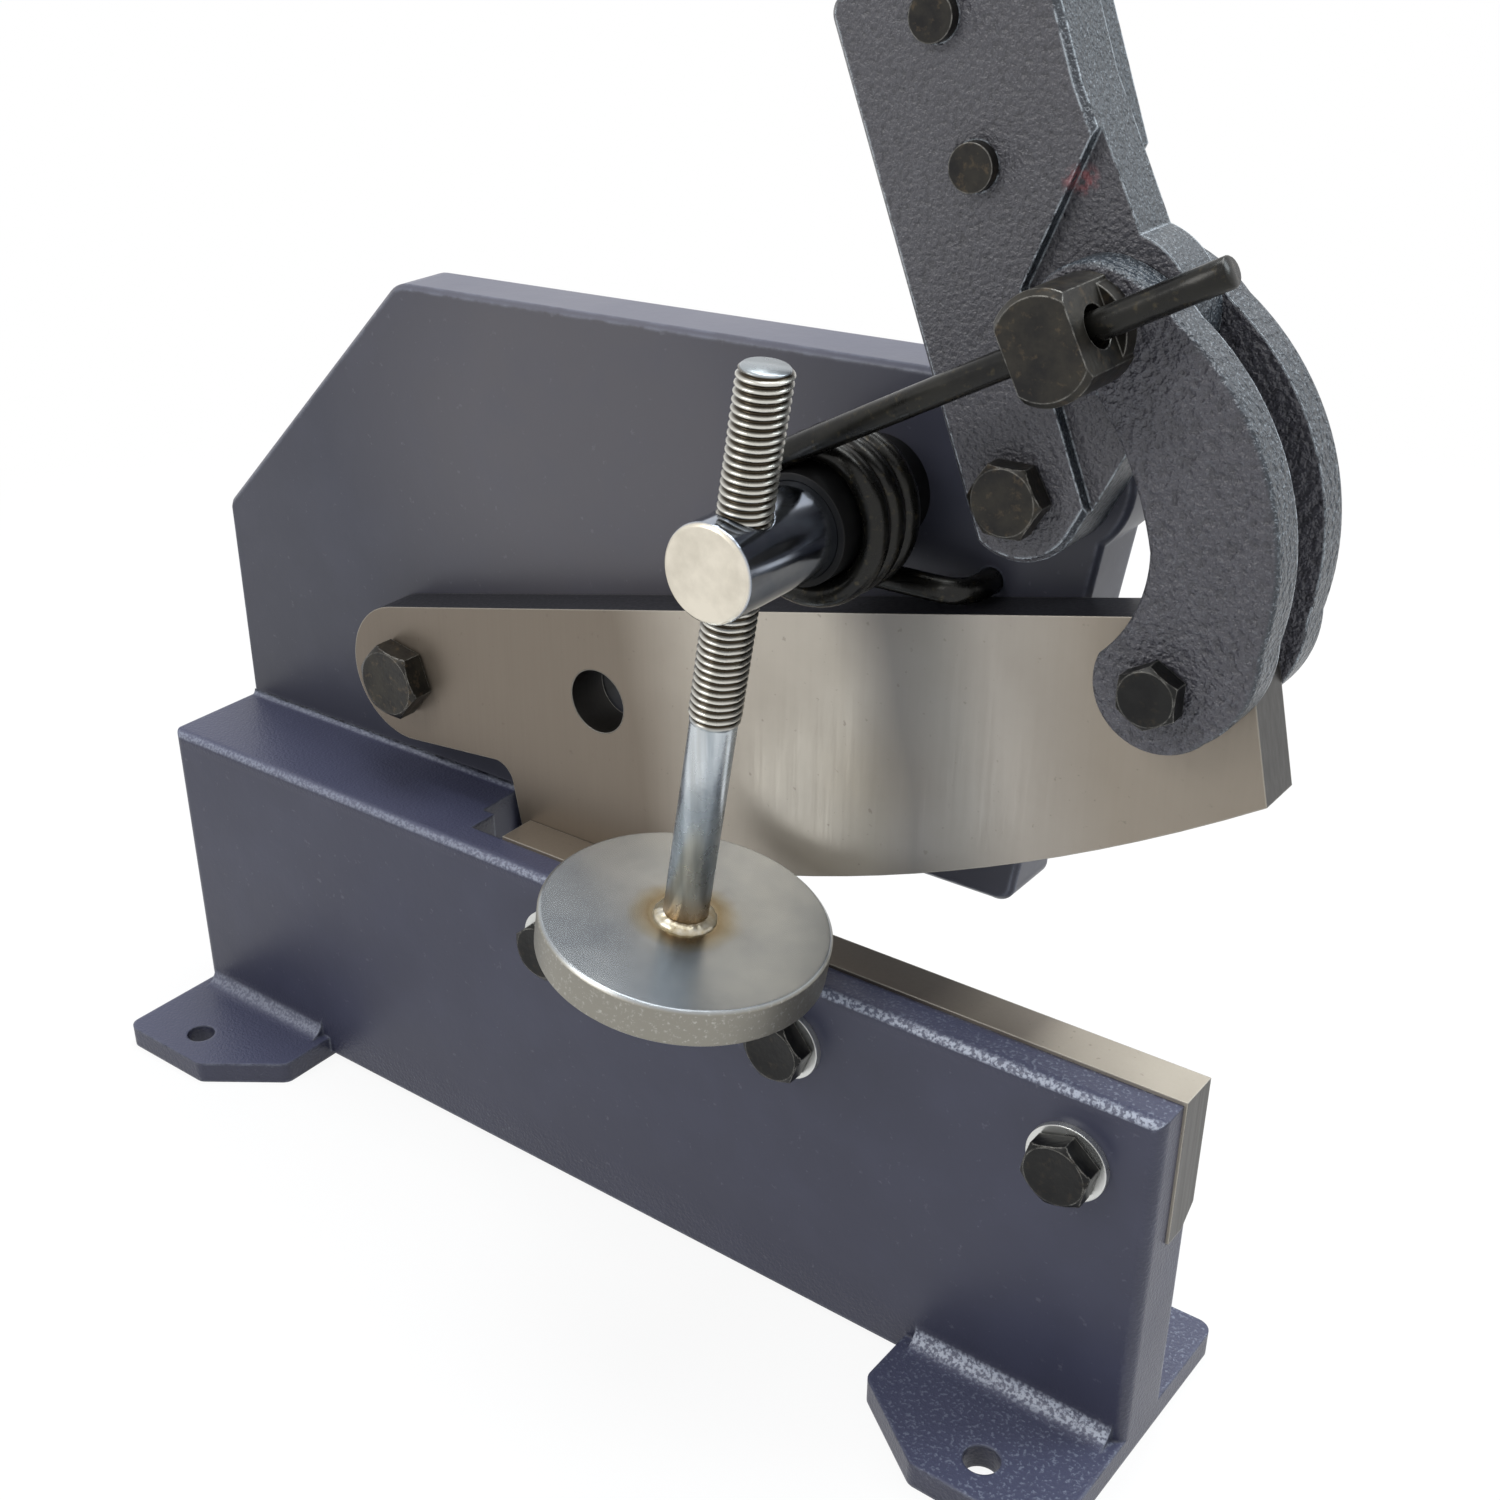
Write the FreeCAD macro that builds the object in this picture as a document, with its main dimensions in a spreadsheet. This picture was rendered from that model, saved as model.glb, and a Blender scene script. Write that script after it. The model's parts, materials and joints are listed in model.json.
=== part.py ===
import FreeCAD, Part
import math
import os
import Sketcher
from FreeCAD import Placement, Rotation, Vector

# Hand lever shear: a cast bed with a straight lower blade, an upper frame plate,
# a curved upper blade pulled down by two C-shaped links and a lever, and a
# screw hold-down beside a torsion spring.
# X runs along the blades, Y from the front to the back, Z up, in millimetres.
# Places below are measured from the bed's left end, its front face and the floor.

SIZES = [
    # Bed casting
    ("bed_length", 333.0),
    ("bed_height", 101.7),
    ("bed_wall", 9.4),
    ("bed_web", 19.0),
    ("bed_raise", 2.0),
    ("bed_edge_round", 3.0),
    ("blade_proud", 1.0),
    ("heel_notch", 12.0),
    ("heel_relief", 4.5),
    ("ledge_bottom", 45.0),
    ("ledge_bead", 2.0),
    # Feet
    ("foot_width", 59.0),
    ("foot_front", 35.5),
    ("foot_height", 7.0),
    ("foot_cut_along", 23.0),
    ("foot_cut_deep", 17.0),
    ("foot_corner", 4.0),
    ("foot_bend", 6.0),
    ("foot_hole_inset", 23.5),
    ("foot_hole_front", 24.0),
    ("foot_hole_rear", 36.0),
    ("foot_hole_radius", 4.5),
    # Lower blade and its bolts
    ("lower_blade_length", 200.0),
    ("lower_blade_depth", 39.3),
    ("lower_blade_thick", 11.7),
    ("lower_blade_bevel", 5.0),
    ("lower_blade_over", 0.7),
    ("bed_bolt_end", 20.5),
    ("bed_bolt_pitch", 76.0),
    ("bed_bolt_drop", 19.7),
    ("bed_bolt_shank", 5.0),
    ("bed_bolt_short", 1.5),
    ("bed_bolt_flats", 16.0),
    ("bed_bolt_head", 6.4),
    ("washer_radius", 9.8),
    ("washer_thick", 1.8),
    # Layers from the shear plane to the back
    ("shear_gap", 0.2),
    ("upper_blade_thick", 12.6),
    ("plate_gap", 0.2),
    ("plate_thick", 16.6),
    # Upper frame plate
    ("plate_left_top", 166.6),
    ("plate_top", 243.3),
    ("plate_top_left", 83.0),
    ("plate_top_round", 10.0),
    ("plate_left_round", 4.0),
    ("throat_height", 118.6),
    ("throat_right", 275.8),
    ("throat_round", 14.0),
    ("plate_end_lean", 9.0),
    ("plate_corner", 5.0),
    ("plate_edge_round", 1.2),
    # Pivots
    ("blade_pivot_x", 87.0),
    ("blade_pivot_z", 134.5),
    ("lever_pivot_x", 278.0),
    ("lever_pivot_z", 224.8),
    ("link_pin_x", 293.2),
    ("link_pin_z", 262.0),
    ("link_bolt_x", 315.0),
    ("link_bolt_z", 193.0),
    ("boss_x", 236.3),
    ("boss_z", 214.5),
    ("pivot_play", 0.05),
    # Upper blade
    ("blade_lug", 20.5),
    ("blade_rise", 12.4),
    ("blade_end_x", 327.5),
    ("blade_tip_x", 336.8),
    ("blade_tip_z", 169.5),
    ("blade_edge_radius", 440.0),
    ("heel_gap", 2.8),
    ("heel_depth", 6.0),
    ("neck_lean", 3.0),
    ("neck_height", 117.2),
    ("neck_round", 6.5),
    ("round_hole_x", 160.2),
    ("round_hole_z", 145.6),
    ("round_hole_radius", 8.8),
    ("slot_reach_x", 8.9),
    ("slot_reach_z", 5.2),
    ("slot_play", 1.2),
    # Pivot bolts
    ("blade_bolt_shank", 6.0),
    ("blade_bolt_flats", 18.0),
    ("blade_bolt_head", 6.4),
    ("lever_bolt_shank", 5.0),
    ("lever_bolt_flats", 14.0),
    ("lever_bolt_head", 5.6),
    ("link_bolt_shank", 4.0),
    ("link_bolt_flats", 11.0),
    ("link_bolt_head", 5.0),
    ("nut_height", 6.5),
    ("nut_wider", 2.0),
    # Links
    ("link_thick", 9.2),
    ("link_gap", 0.3),
    ("link_edge_round", 1.2),
    ("link_top_lug", 12.6),
    ("link_low_lug", 14.0),
    ("link_waist_in", 17.1),
    ("link_waist_out", 41.5),
    ("link_waist_drop", 41.0),
    ("link_belly_drop", 57.0),
    ("link_shoulder", 18.5),
    ("link_shoulder_up", 3.0),
    ("link_bend_upper", 75.0),
    ("link_bend_lower", 30.0),
    ("link_bend_back", 32.0),
    ("link_bend_belly", 60.0),
    ("link_bend_foot", 24.0),
    # Link pin with its cross-drilled head
    ("pin_shank", 5.0),
    ("pin_head", 11.0),
    ("pin_flats", 15.0),
    ("pin_head_length", 17.5),
    ("pin_head_chamfer", 1.2),
    ("pin_collar", 4.0),
    ("pin_rod_depth", 8.6),
    ("rod_play", 1.3),
    # Spring
    ("wire_radius", 3.0),
    ("coil_radius", 16.0),
    ("coil_pitch", 6.3),
    ("coil_turns", 3.0),
    ("leg_past_pin", 34.4),
    ("tail_length", 23.0),
    ("tail_bend", 6.0),
    ("tail_into_plate", 8.0),
    ("sleeve_wall", 1.6),
    # Hold-down
    ("boss_radius", 11.0),
    ("boss_front", 32.0),
    ("boss_chamfer", 0.8),
    ("boss_journal", 6.0),
    ("boss_end_gap", 0.3),
    ("spindle_front", 20.5),
    ("spindle_radius", 6.0),
    ("spindle_neck", 5.4),
    ("spindle_above", 41.7),
    ("spindle_below", 93.5),
    ("spindle_neck_length", 52.0),
    ("spindle_lean", 9.4),
    ("disk_radius", 35.0),
    ("disk_thick", 10.4),
    ("disk_edge", 0.8),
    ("weld_radius", 8.0),
    ("weld_height", 2.2),
    # Lever casting
    ("lever_lean", 21.2),
    ("lever_lug", 14.5),
    ("lever_left", 12.2),
    ("lever_right", 35.0),
    ("lever_flare", 3.0),
    ("lever_flare_end", 72.0),
    ("lever_pin_lug", 17.0),
    ("lever_proud", 3.0),
    ("lever_top", 104.0),
    ("lever_top_round", 4.0),
    ("lever_edge_round", 1.2),
    ("step_reach", 17.4),
    ("step_lift", 4.3),
    ("step_upper", 40.0),
    ("step_lower", 62.0),
    ("step_angle", 67.5),
    # Handle
    ("bar_thick", 6.0),
    ("bar_width", 48.0),
    ("bar_centre", 10.5),
    ("bar_start", 49.0),
    ("bar_corner", 9.0),
    ("bar_taper_start", 128.0),
    ("bar_taper", 40.0),
    ("bar_length", 335.0),
    ("bar_end_width", 30.0),
    ("grip_length", 120.0),
    ("grip_wall", 4.0),
    ("grip_round", 6.0),
    ("handle_bolt_shank", 4.8),
    ("handle_bolt_low", 64.3),
    ("handle_bolt_pitch", 28.6),
    ("handle_bolt_flats", 14.0),
    ("handle_bolt_head", 5.5),
    ("handle_bolt_proud", 2.4),
]

doc = FreeCAD.newDocument("HandLeverShear")
sheet = doc.addObject("Spreadsheet::Sheet", "Sizes")
for row, (alias, number) in enumerate(SIZES, start=1):
    sheet.set("A%d" % row, alias)
    sheet.set("B%d" % row, str(number))
    sheet.setAlias("B%d" % row, alias)
doc.recompute()


# A size keeps its number together with the sheet expression that it comes from

class Size:
    def __init__(self, text, number):
        self.text = text
        self.number = float(number)

    def __add__(self, other):
        other = size(other)
        return Size("(%s + %s)" % (self.text, other.text), self.number + other.number)

    def __sub__(self, other):
        other = size(other)
        return Size("(%s - %s)" % (self.text, other.text), self.number - other.number)

    def __mul__(self, other):
        other = size(other)
        return Size("(%s * %s)" % (self.text, other.text), self.number * other.number)

    def __truediv__(self, other):
        other = size(other)
        return Size("(%s / %s)" % (self.text, other.text), self.number / other.number)

    def __radd__(self, other):
        return size(other) + self

    def __rsub__(self, other):
        return size(other) - self

    def __rmul__(self, other):
        return size(other) * self

    def __neg__(self):
        return size(0) - self


def size(value):
    if isinstance(value, Size):
        return value
    return Size("%.6g" % value, value)


def cos(angle):
    angle = size(angle)
    return Size("cos(%s)" % angle.text, math.cos(math.radians(angle.number)))


def sin(angle):
    angle = size(angle)
    return Size("sin(%s)" % angle.text, math.sin(math.radians(angle.number)))


def tan(angle):
    angle = size(angle)
    return Size("tan(%s)" % angle.text, math.tan(math.radians(angle.number)))


def sqrt(value):
    value = size(value)
    return Size("sqrt(%s)" % value.text, math.sqrt(max(value.number, 0.0)))


def length_of(x, z):
    return sqrt(size(x) * x + size(z) * z)


v = {alias: Size("Sizes." + alias, number) for alias, number in SIZES}

# Layers in depth
shear_plane = v["bed_wall"] + v["lower_blade_thick"]
blade_front = shear_plane + v["shear_gap"]
blade_back = blade_front + v["upper_blade_thick"]
plate_front = blade_back + v["plate_gap"]
plate_back = plate_front + v["plate_thick"]
lever_front = blade_front - v["lever_proud"]
link_front_back = blade_front - v["link_gap"]
link_front_face = link_front_back - v["link_thick"]
link_back_front = blade_back + v["link_gap"]
link_back_face = link_back_front + v["link_thick"]
bar_back = blade_back + v["bar_thick"]

# The part's own origin is the middle of the feet's hole pattern, on the floor
origin_x = v["bed_length"] / 2
origin_y = (v["foot_hole_rear"] - v["foot_hole_front"]) / 2

kept = {}


def keep(label, item):
    item.Label = label
    kept[label] = item
    return item


def bind(item, name, value):
    value = size(value)
    item.setExpression(name, value.text)


def place(item, x, y, z, rotation=None):
    x = size(x) - origin_x
    y = size(y) - origin_y
    z = size(z)
    turn = rotation if rotation is not None else Rotation()
    item.Placement = Placement(Vector(x.number, y.number, z.number), turn)
    bind(item, "Placement.Base.x", x)
    bind(item, "Placement.Base.y", y)
    bind(item, "Placement.Base.z", z)
    return item


# Outlines: each corner is (x, z) or (x, z, radius); a radius bends the edge that
# leaves the corner, positive with its centre on the left of the way round

def arc_centre(start, end, radius):
    chord = end - start
    half = chord.Length / 2
    away = math.sqrt(max(radius * radius - half * half, 0.0))
    left = Vector(-chord.y, chord.x, 0).normalize()
    return (start + end) * 0.5 + left * (away if radius > 0 else -away)


def outline(sketch, corners):
    first = sketch.GeometryCount
    points = [Vector(size(c[0]).number, size(c[1]).number, 0) for c in corners]
    ends = []
    for i, corner in enumerate(corners):
        start = points[i]
        end = points[(i + 1) % len(points)]
        if len(corner) < 3:
            sketch.addGeometry(Part.LineSegment(start, end), False)
            ends.append((1, 2))
            continue
        radius = size(corner[2]).number
        centre = arc_centre(start, end, radius)
        a0 = math.atan2(start.y - centre.y, start.x - centre.x)
        a1 = math.atan2(end.y - centre.y, end.x - centre.x)
        circle = Part.Circle(centre, Vector(0, 0, 1), abs(radius))
        if radius > 0:
            sketch.addGeometry(Part.ArcOfCircle(circle, a0, a1), False)
            ends.append((1, 2))
        else:
            sketch.addGeometry(Part.ArcOfCircle(circle, a1, a0), False)
            ends.append((2, 1))
    count = len(corners)
    for i in range(count):
        following = (i + 1) % count
        sketch.addConstraint(Sketcher.Constraint(
            "Coincident", first + i, ends[i][1], first + following, ends[following][0]))
    for i, corner in enumerate(corners):
        for kind, value in (("DistanceX", corner[0]), ("DistanceY", corner[1])):
            value = size(value)
            index = sketch.addConstraint(Sketcher.Constraint(
                kind, first + i, ends[i][0], value.number))
            bind(sketch, "Constraints[%d]" % index, value)
        if len(corner) > 2:
            radius = size(corner[2])
            if radius.number < 0:
                radius = -radius
            index = sketch.addConstraint(Sketcher.Constraint(
                "Radius", first + i, radius.number))
            bind(sketch, "Constraints[%d]" % index, radius)


def round_hole(sketch, x, z, radius):
    x, z, radius = size(x), size(z), size(radius)
    index = sketch.GeometryCount
    centre = Vector(x.number, z.number, 0)
    sketch.addGeometry(Part.Circle(centre, Vector(0, 0, 1), radius.number), False)
    for kind, value in (("DistanceX", x), ("DistanceY", z)):
        n = sketch.addConstraint(Sketcher.Constraint(kind, index, 3, value.number))
        bind(sketch, "Constraints[%d]" % n, value)
    n = sketch.addConstraint(Sketcher.Constraint("Radius", index, radius.number))
    bind(sketch, "Constraints[%d]" % n, radius)


def padded(name, role, corners, holes, length):
    body = doc.addObject("PartDesign::Body", name)
    plane = [f for f in body.Origin.OriginFeatures if f.Role == role][0]
    sketch = body.newObject("Sketcher::SketchObject", name + "_outline")
    sketch.AttachmentSupport = [(plane, "")]
    sketch.MapMode = "FlatFace"
    outline(sketch, corners)
    for x, z, radius in holes:
        round_hole(sketch, x, z, radius)
    pad = body.newObject("PartDesign::Pad", name + "_pad")
    pad.Profile = sketch
    bind(pad, "Length", length)
    return body


def upright(name, corners, holes, front, back):
    # A plate that stands along X and Z, between two depths
    body = padded(name, "XZ_Plane", corners, holes, size(back) - size(front))
    return place(body, 0, back, 0)


def flat(name, corners, holes, low, high):
    # A plate that lies along X and Y, between two heights
    body = padded(name, "XY_Plane", corners, holes, size(high) - size(low))
    return place(body, 0, 0, low)


def soften(body, kind, radius, chosen):
    # Rounds or chamfers the edges of a body that the test chooses, in its own axes
    doc.recompute()
    base = body.Tip
    names = ["Edge%d" % n for n, edge in enumerate(base.Shape.Edges, start=1) if chosen(edge)]
    feature = body.newObject("PartDesign::" + kind, "%s_%s%d" % (
        body.Name, kind.lower(), len(body.Group)))
    feature.Base = (base, names)
    bind(feature, "Radius" if kind == "Fillet" else "Size", radius)
    body.Tip = feature
    return body


def near(a, b):
    return abs(a - b) < 0.01


def at_depth(depth):
    depth = size(depth).number
    return lambda edge: all(near(p.Point.y, depth) for p in edge.Vertexes)


def along_depth(x=None, z=None):
    # Edges that run from the front to the back through (x, z)
    def chosen(edge):
        points = [p.Point for p in edge.Vertexes]
        if len(points) != 2 or not near(points[0].x, points[1].x):
            return False
        if not near(points[0].z, points[1].z) or near(points[0].y, points[1].y):
            return False
        fits_x = x is None or near(points[0].x, size(x).number)
        fits_z = z is None or near(points[0].z, size(z).number)
        return fits_x and fits_z
    return chosen


FORWARD = Rotation(Vector(1, 0, 0), 90)
BACKWARD = Rotation(Vector(1, 0, 0), -90)


def rod_back(name, x, z, front, back, radius):
    rod = doc.addObject("Part::Cylinder", name)
    bind(rod, "Radius", radius)
    bind(rod, "Height", size(back) - size(front))
    return place(rod, x, front, z, BACKWARD)


def cone_back(name, x, z, front, back, front_radius, back_radius):
    cone = doc.addObject("Part::Cone", name)
    bind(cone, "Radius1", front_radius)
    bind(cone, "Radius2", back_radius)
    bind(cone, "Height", size(back) - size(front))
    return place(cone, x, front, z, BACKWARD)


def cut(name, base, tools):
    body = base
    for n, tool in enumerate(tools):
        step = doc.addObject("Part::Cut", "%s_cut%d" % (name, n))
        step.Base = body
        step.Tool = tool
        body = step
    return body


def joined(name, shapes):
    fuse = doc.addObject("Part::MultiFuse", name)
    fuse.Shapes = shapes
    return fuse


def hexagon(name, x, z, seat, height, flats, rotation):
    # Hexagon with its outer corners chamfered at 30 degrees
    prism = doc.addObject("Part::Prism", name + "_prism")
    prism.Polygon = 6
    bind(prism, "Circumradius", size(flats) / (2 * cos(30)))
    bind(prism, "Height", height)
    place(prism, x, seat, z, rotation)
    cone = doc.addObject("Part::Cone", name + "_cone")
    bind(cone, "Radius1", size(flats) * 0.475 + size(height) / tan(30))
    bind(cone, "Radius2", size(flats) * 0.475)
    bind(cone, "Height", height)
    place(cone, x, seat, z, rotation)
    both = doc.addObject("Part::Common", name + "_hexagon")
    both.Base = prism
    both.Tool = cone
    return both


def bolt(label, x, z, seat, back, flats, head, shank):
    hexed = hexagon(label + "_head", x, z, seat, head, flats, FORWARD)
    stem = rod_back(label + "_shank", x, z, seat, back, shank)
    return keep(label, joined(label, [hexed, stem]))


def nut(label, x, z, seat, flats, height, bore):
    hexed = hexagon(label + "_body", x, z, seat, height, flats, BACKWARD)
    hole = rod_back(label + "_bore", x, z, size(seat) - 1, size(seat) + size(height) + 1, bore)
    return keep(label, cut(label, hexed, [hole]))


# Bed casting: front wall with a seat for the lower blade, ledge at the left, feet

L = v["bed_length"]
H = v["bed_height"]
wall_top = H - v["blade_proud"]
seat_floor = H - v["lower_blade_depth"]
blade_end = L + v["lower_blade_over"]
blade_start = blade_end - v["lower_blade_length"]
ledge_x = blade_start - v["heel_notch"]
edge_round = v["bed_edge_round"]

wall = upright("bed_front_wall", [
    (0, 0),
    (v["foot_width"], 0),
    (v["foot_width"], v["bed_raise"]),
    (L - v["foot_width"], v["bed_raise"]),
    (L - v["foot_width"], 0),
    (L, 0),
    (L, wall_top),
    (0, wall_top),
], [], 0, v["bed_web"])
wall_front = (-v["bed_web"]).number


def front_wall_edge(edge):
    points = [p.Point for p in edge.Vertexes]
    if len(points) != 2 or not all(near(p.y, wall_front) for p in points):
        return False
    on_top = all(near(p.z, wall_top.number) for p in points)
    at_left = all(near(p.x, 0) for p in points)
    at_right = all(near(p.x, L.number) for p in points)
    return on_top or at_left or at_right


soften(wall, "Fillet", edge_round, front_wall_edge)

blade_seat = upright("bed_blade_seat", [
    (ledge_x, seat_floor),
    (L + 1, seat_floor),
    (L + 1, H + 1),
    (ledge_x, H + 1),
], [], v["bed_wall"], v["bed_web"] + 1)

relief_x = ledge_x - v["heel_relief"]
ledge = upright("bed_ledge", [
    (0, v["ledge_bottom"]),
    (relief_x, v["ledge_bottom"]),
    (relief_x, wall_top),
    (0, wall_top),
], [], v["bed_web"], plate_front)

# Bead where the ledge's top meets the upper frame
bead = v["ledge_bead"]
bead_bar = padded("bed_ledge_bead", "YZ_Plane", [
    (plate_front - bead, wall_top - 1),
    (plate_front, wall_top - 1),
    (plate_front, wall_top + bead, -bead),
    (plate_front - bead, wall_top),
], [], relief_x - 1)
place(bead_bar, 0.5, 0, 0)


def foot(name, start, direction):
    outer = size(start)
    inner = outer + direction * v["foot_width"]
    cut_x = inner - direction * v["foot_cut_along"]
    front = -v["foot_front"]
    corners = [
        (outer, front),
        (cut_x, front),
        (inner, front + v["foot_cut_deep"]),
        (inner, plate_back - v["foot_cut_deep"]),
        (cut_x, plate_back),
        (outer, plate_back),
    ]
    if direction < 0:
        corners.reverse()
    hole_x = outer + direction * v["foot_hole_inset"]
    holes = [
        (hole_x, -v["foot_hole_front"], v["foot_hole_radius"]),
        (hole_x, v["foot_hole_rear"], v["foot_hole_radius"]),
    ]
    body = flat(name, corners, holes, 0, v["foot_height"])

    def upright_edge(edge):
        points = [p.Point for p in edge.Vertexes]
        if len(points) != 2 or near(points[0].z, points[1].z):
            return False
        return near(points[0].x, points[1].x) and near(points[0].y, points[1].y)

    return soften(body, "Fillet", v["foot_corner"], upright_edge)


left_foot = foot("bed_left_foot", 0, 1)
right_foot = foot("bed_right_foot", L, -1)

# Hollow fillets between the wall and the feet, in front and behind
bend = v["foot_bend"]


def foot_bend(name, start, face, direction):
    outer = size(face) + direction * bend
    corners = [
        (face - direction * 1, v["foot_height"] - 1),
        (outer, v["foot_height"] - 1),
        (outer, v["foot_height"], -direction * bend),
        (face, v["foot_height"] + bend),
        (face - direction * 1, v["foot_height"] + bend),
    ]
    if direction < 0:
        corners = [
            (outer, v["foot_height"] - 1),
            (face - direction * 1, v["foot_height"] - 1),
            (face - direction * 1, v["foot_height"] + bend),
            (face, v["foot_height"] + bend, -bend),
            (outer, v["foot_height"]),
        ]
    bar = padded(name, "YZ_Plane", corners, [], v["foot_width"] - 2 * edge_round)
    return place(bar, start, 0, 0)


bends = []
for side, start in (("left", edge_round), ("right", L - v["foot_width"] + edge_round)):
    bends.append(foot_bend("bed_bend_%s_front" % side, start, size(0), -1))
    bends.append(foot_bend("bed_bend_%s_back" % side, start, v["bed_web"], 1))

bed_bolts_x = [L - v["bed_bolt_end"] - n * v["bed_bolt_pitch"] for n in (2, 1, 0)]
bed_bolt_z = H - v["bed_bolt_drop"]
bolt_hole = v["bed_bolt_shank"] + v["pivot_play"]
bed_holes = [
    rod_back("bed_bolt_hole%d" % n, x, bed_bolt_z, -5, plate_back, bolt_hole)
    for n, x in enumerate(bed_bolts_x)
]
bed = joined("bed_solid", [wall, ledge, left_foot, right_foot, bead_bar] + bends)
keep("bed_casting", cut("bed", bed, [blade_seat] + bed_holes))

# Lower blade: straight bar with its back bottom edge bevelled

bevel = v["lower_blade_bevel"]
lower_bar = padded("lower_blade_bar", "YZ_Plane", [
    (v["bed_wall"], seat_floor),
    (shear_plane - bevel, seat_floor),
    (shear_plane, seat_floor + bevel),
    (shear_plane, H),
    (v["bed_wall"], H),
], [], v["lower_blade_length"])
place(lower_bar, blade_start, 0, 0)
blade_holes = [
    rod_back("lower_blade_hole%d" % n, x, bed_bolt_z, -5, plate_back, bolt_hole)
    for n, x in enumerate(bed_bolts_x)
]
keep("lower_blade", cut("lower", lower_bar, blade_holes))

for side, x in zip(("left", "middle", "right"), bed_bolts_x):
    disc = rod_back("washer_%s_disc" % side, x, bed_bolt_z, -v["washer_thick"], 0,
                    v["washer_radius"])
    hole = rod_back("washer_%s_hole" % side, x, bed_bolt_z, -5, 5, bolt_hole)
    keep("bed_washer_" + side, cut("washer_" + side, disc, [hole]))
    bolt("bed_bolt_" + side, x, bed_bolt_z, -v["washer_thick"],
         shear_plane - v["bed_bolt_short"], v["bed_bolt_flats"], v["bed_bolt_head"],
         v["bed_bolt_shank"])

# Upper frame plate

px = v["lever_pivot_x"]
pz = v["lever_pivot_z"]
sx = v["boss_x"]
sz = v["boss_z"]
corner_round = v["plate_top"] - pz
slope = tan(v["plate_end_lean"])
end_low_x = v["throat_right"]
end_top_z = pz - 0.73 * corner_round
end_top_x = end_low_x + (end_top_z - v["throat_height"]) * slope
tail_x = sx + v["tail_length"] + v["tail_bend"]
tail_z = sz - v["coil_radius"]

plate = upright("upper_frame_plate", [
    (0, v["ledge_bottom"]),
    (ledge_x, v["ledge_bottom"]),
    (ledge_x, v["throat_height"] - v["throat_round"], -v["throat_round"]),
    (ledge_x + v["throat_round"], v["throat_height"]),
    (end_low_x - v["plate_corner"], v["throat_height"], v["plate_corner"]),
    (end_low_x + v["plate_corner"] * slope, v["throat_height"] + v["plate_corner"]),
    (end_top_x, end_top_z, corner_round),
    (px, v["plate_top"]),
    (v["plate_top_left"], v["plate_top"]),
    (0, v["plate_left_top"]),
], [
    (v["blade_pivot_x"], v["blade_pivot_z"], v["blade_bolt_shank"] + v["pivot_play"]),
    (px, pz, v["lever_bolt_shank"] + v["pivot_play"]),
    (v["round_hole_x"], v["round_hole_z"], v["round_hole_radius"]),
    (sx, sz, v["boss_journal"] + v["pivot_play"]),
    (tail_x, tail_z, v["wire_radius"]),
], plate_front, plate_back)
soften(plate, "Fillet", v["plate_top_round"], along_depth(v["plate_top_left"], v["plate_top"]))
soften(plate, "Fillet", v["plate_left_round"], along_depth(0, v["plate_left_top"]))


def plate_rim(depth):
    # The outline's edges on one face, without the holes
    depth = size(depth).number

    def chosen(edge):
        if not all(near(p.Point.y, depth) for p in edge.Vertexes):
            return False
        return len(edge.Vertexes) == 2
    return chosen


soften(plate, "Chamfer", v["plate_edge_round"], plate_rim(-v["plate_thick"]))
keep("upper_frame", plate)

# Upper blade: round lug at its pivot, straight back, convex cutting edge

ax = v["blade_pivot_x"]
az = v["blade_pivot_z"]
lug = v["blade_lug"]
rise = v["blade_rise"]
back_start_x = ax - lug * sin(rise)
back_start_z = az + lug * cos(rise)
heel_x = blade_start - v["heel_gap"]
heel_z = H - v["heel_depth"]
neck_x = heel_x - v["neck_lean"]
neck = v["neck_round"]
blade_plate = upright("upper_blade_plate", [
    (back_start_x, back_start_z, lug),
    (ax - lug, az, lug),
    (ax, az - lug),
    (neck_x - neck, v["neck_height"], -neck),
    (neck_x, v["neck_height"] - neck),
    (heel_x, heel_z, v["blade_edge_radius"]),
    (v["blade_tip_x"], v["blade_tip_z"]),
    (v["blade_end_x"], back_start_z + (v["blade_end_x"] - back_start_x) * tan(rise)),
], [
    (ax, az, v["blade_bolt_shank"] + v["pivot_play"]),
    (v["round_hole_x"], v["round_hole_z"], v["round_hole_radius"]),
], blade_front, blade_back)

# The link bolt's opening in the blade follows the bolt's path while the blade turns
slot_x = v["slot_reach_x"]
slot_z = v["slot_reach_z"]
slot_length = length_of(slot_x, slot_z)
slot_angle = math.degrees(math.atan2(slot_z.number, slot_x.number))
slot_radius = v["link_bolt_shank"] + v["slot_play"]
slot_ends = [
    rod_back("slot_start", v["link_bolt_x"], v["link_bolt_z"], 0, plate_back, slot_radius),
    rod_back("slot_end", v["link_bolt_x"] + slot_x, v["link_bolt_z"] + slot_z, 0, plate_back,
             slot_radius),
]
slot_middle = doc.addObject("Part::Box", "slot_middle")
bind(slot_middle, "Length", slot_length)
bind(slot_middle, "Width", plate_back)
bind(slot_middle, "Height", slot_radius * 2)
place(slot_middle, v["link_bolt_x"] + slot_radius * slot_z / slot_length, 0,
      v["link_bolt_z"] - slot_radius * slot_x / slot_length,
      Rotation(Vector(0, 1, 0), -slot_angle))
keep("upper_blade", cut("upper_blade", blade_plate, slot_ends + [slot_middle]))

bolt("blade_pivot_bolt", ax, az, blade_front - v["plate_gap"], plate_back + v["nut_height"],
     v["blade_bolt_flats"], v["blade_bolt_head"], v["blade_bolt_shank"])
nut("blade_pivot_nut", ax, az, plate_back, v["blade_bolt_flats"], v["nut_height"],
    v["blade_bolt_shank"] + v["pivot_play"])

# Lever casting: lugs at the lever pivot and the link pin, arm leaning to the left

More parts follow.
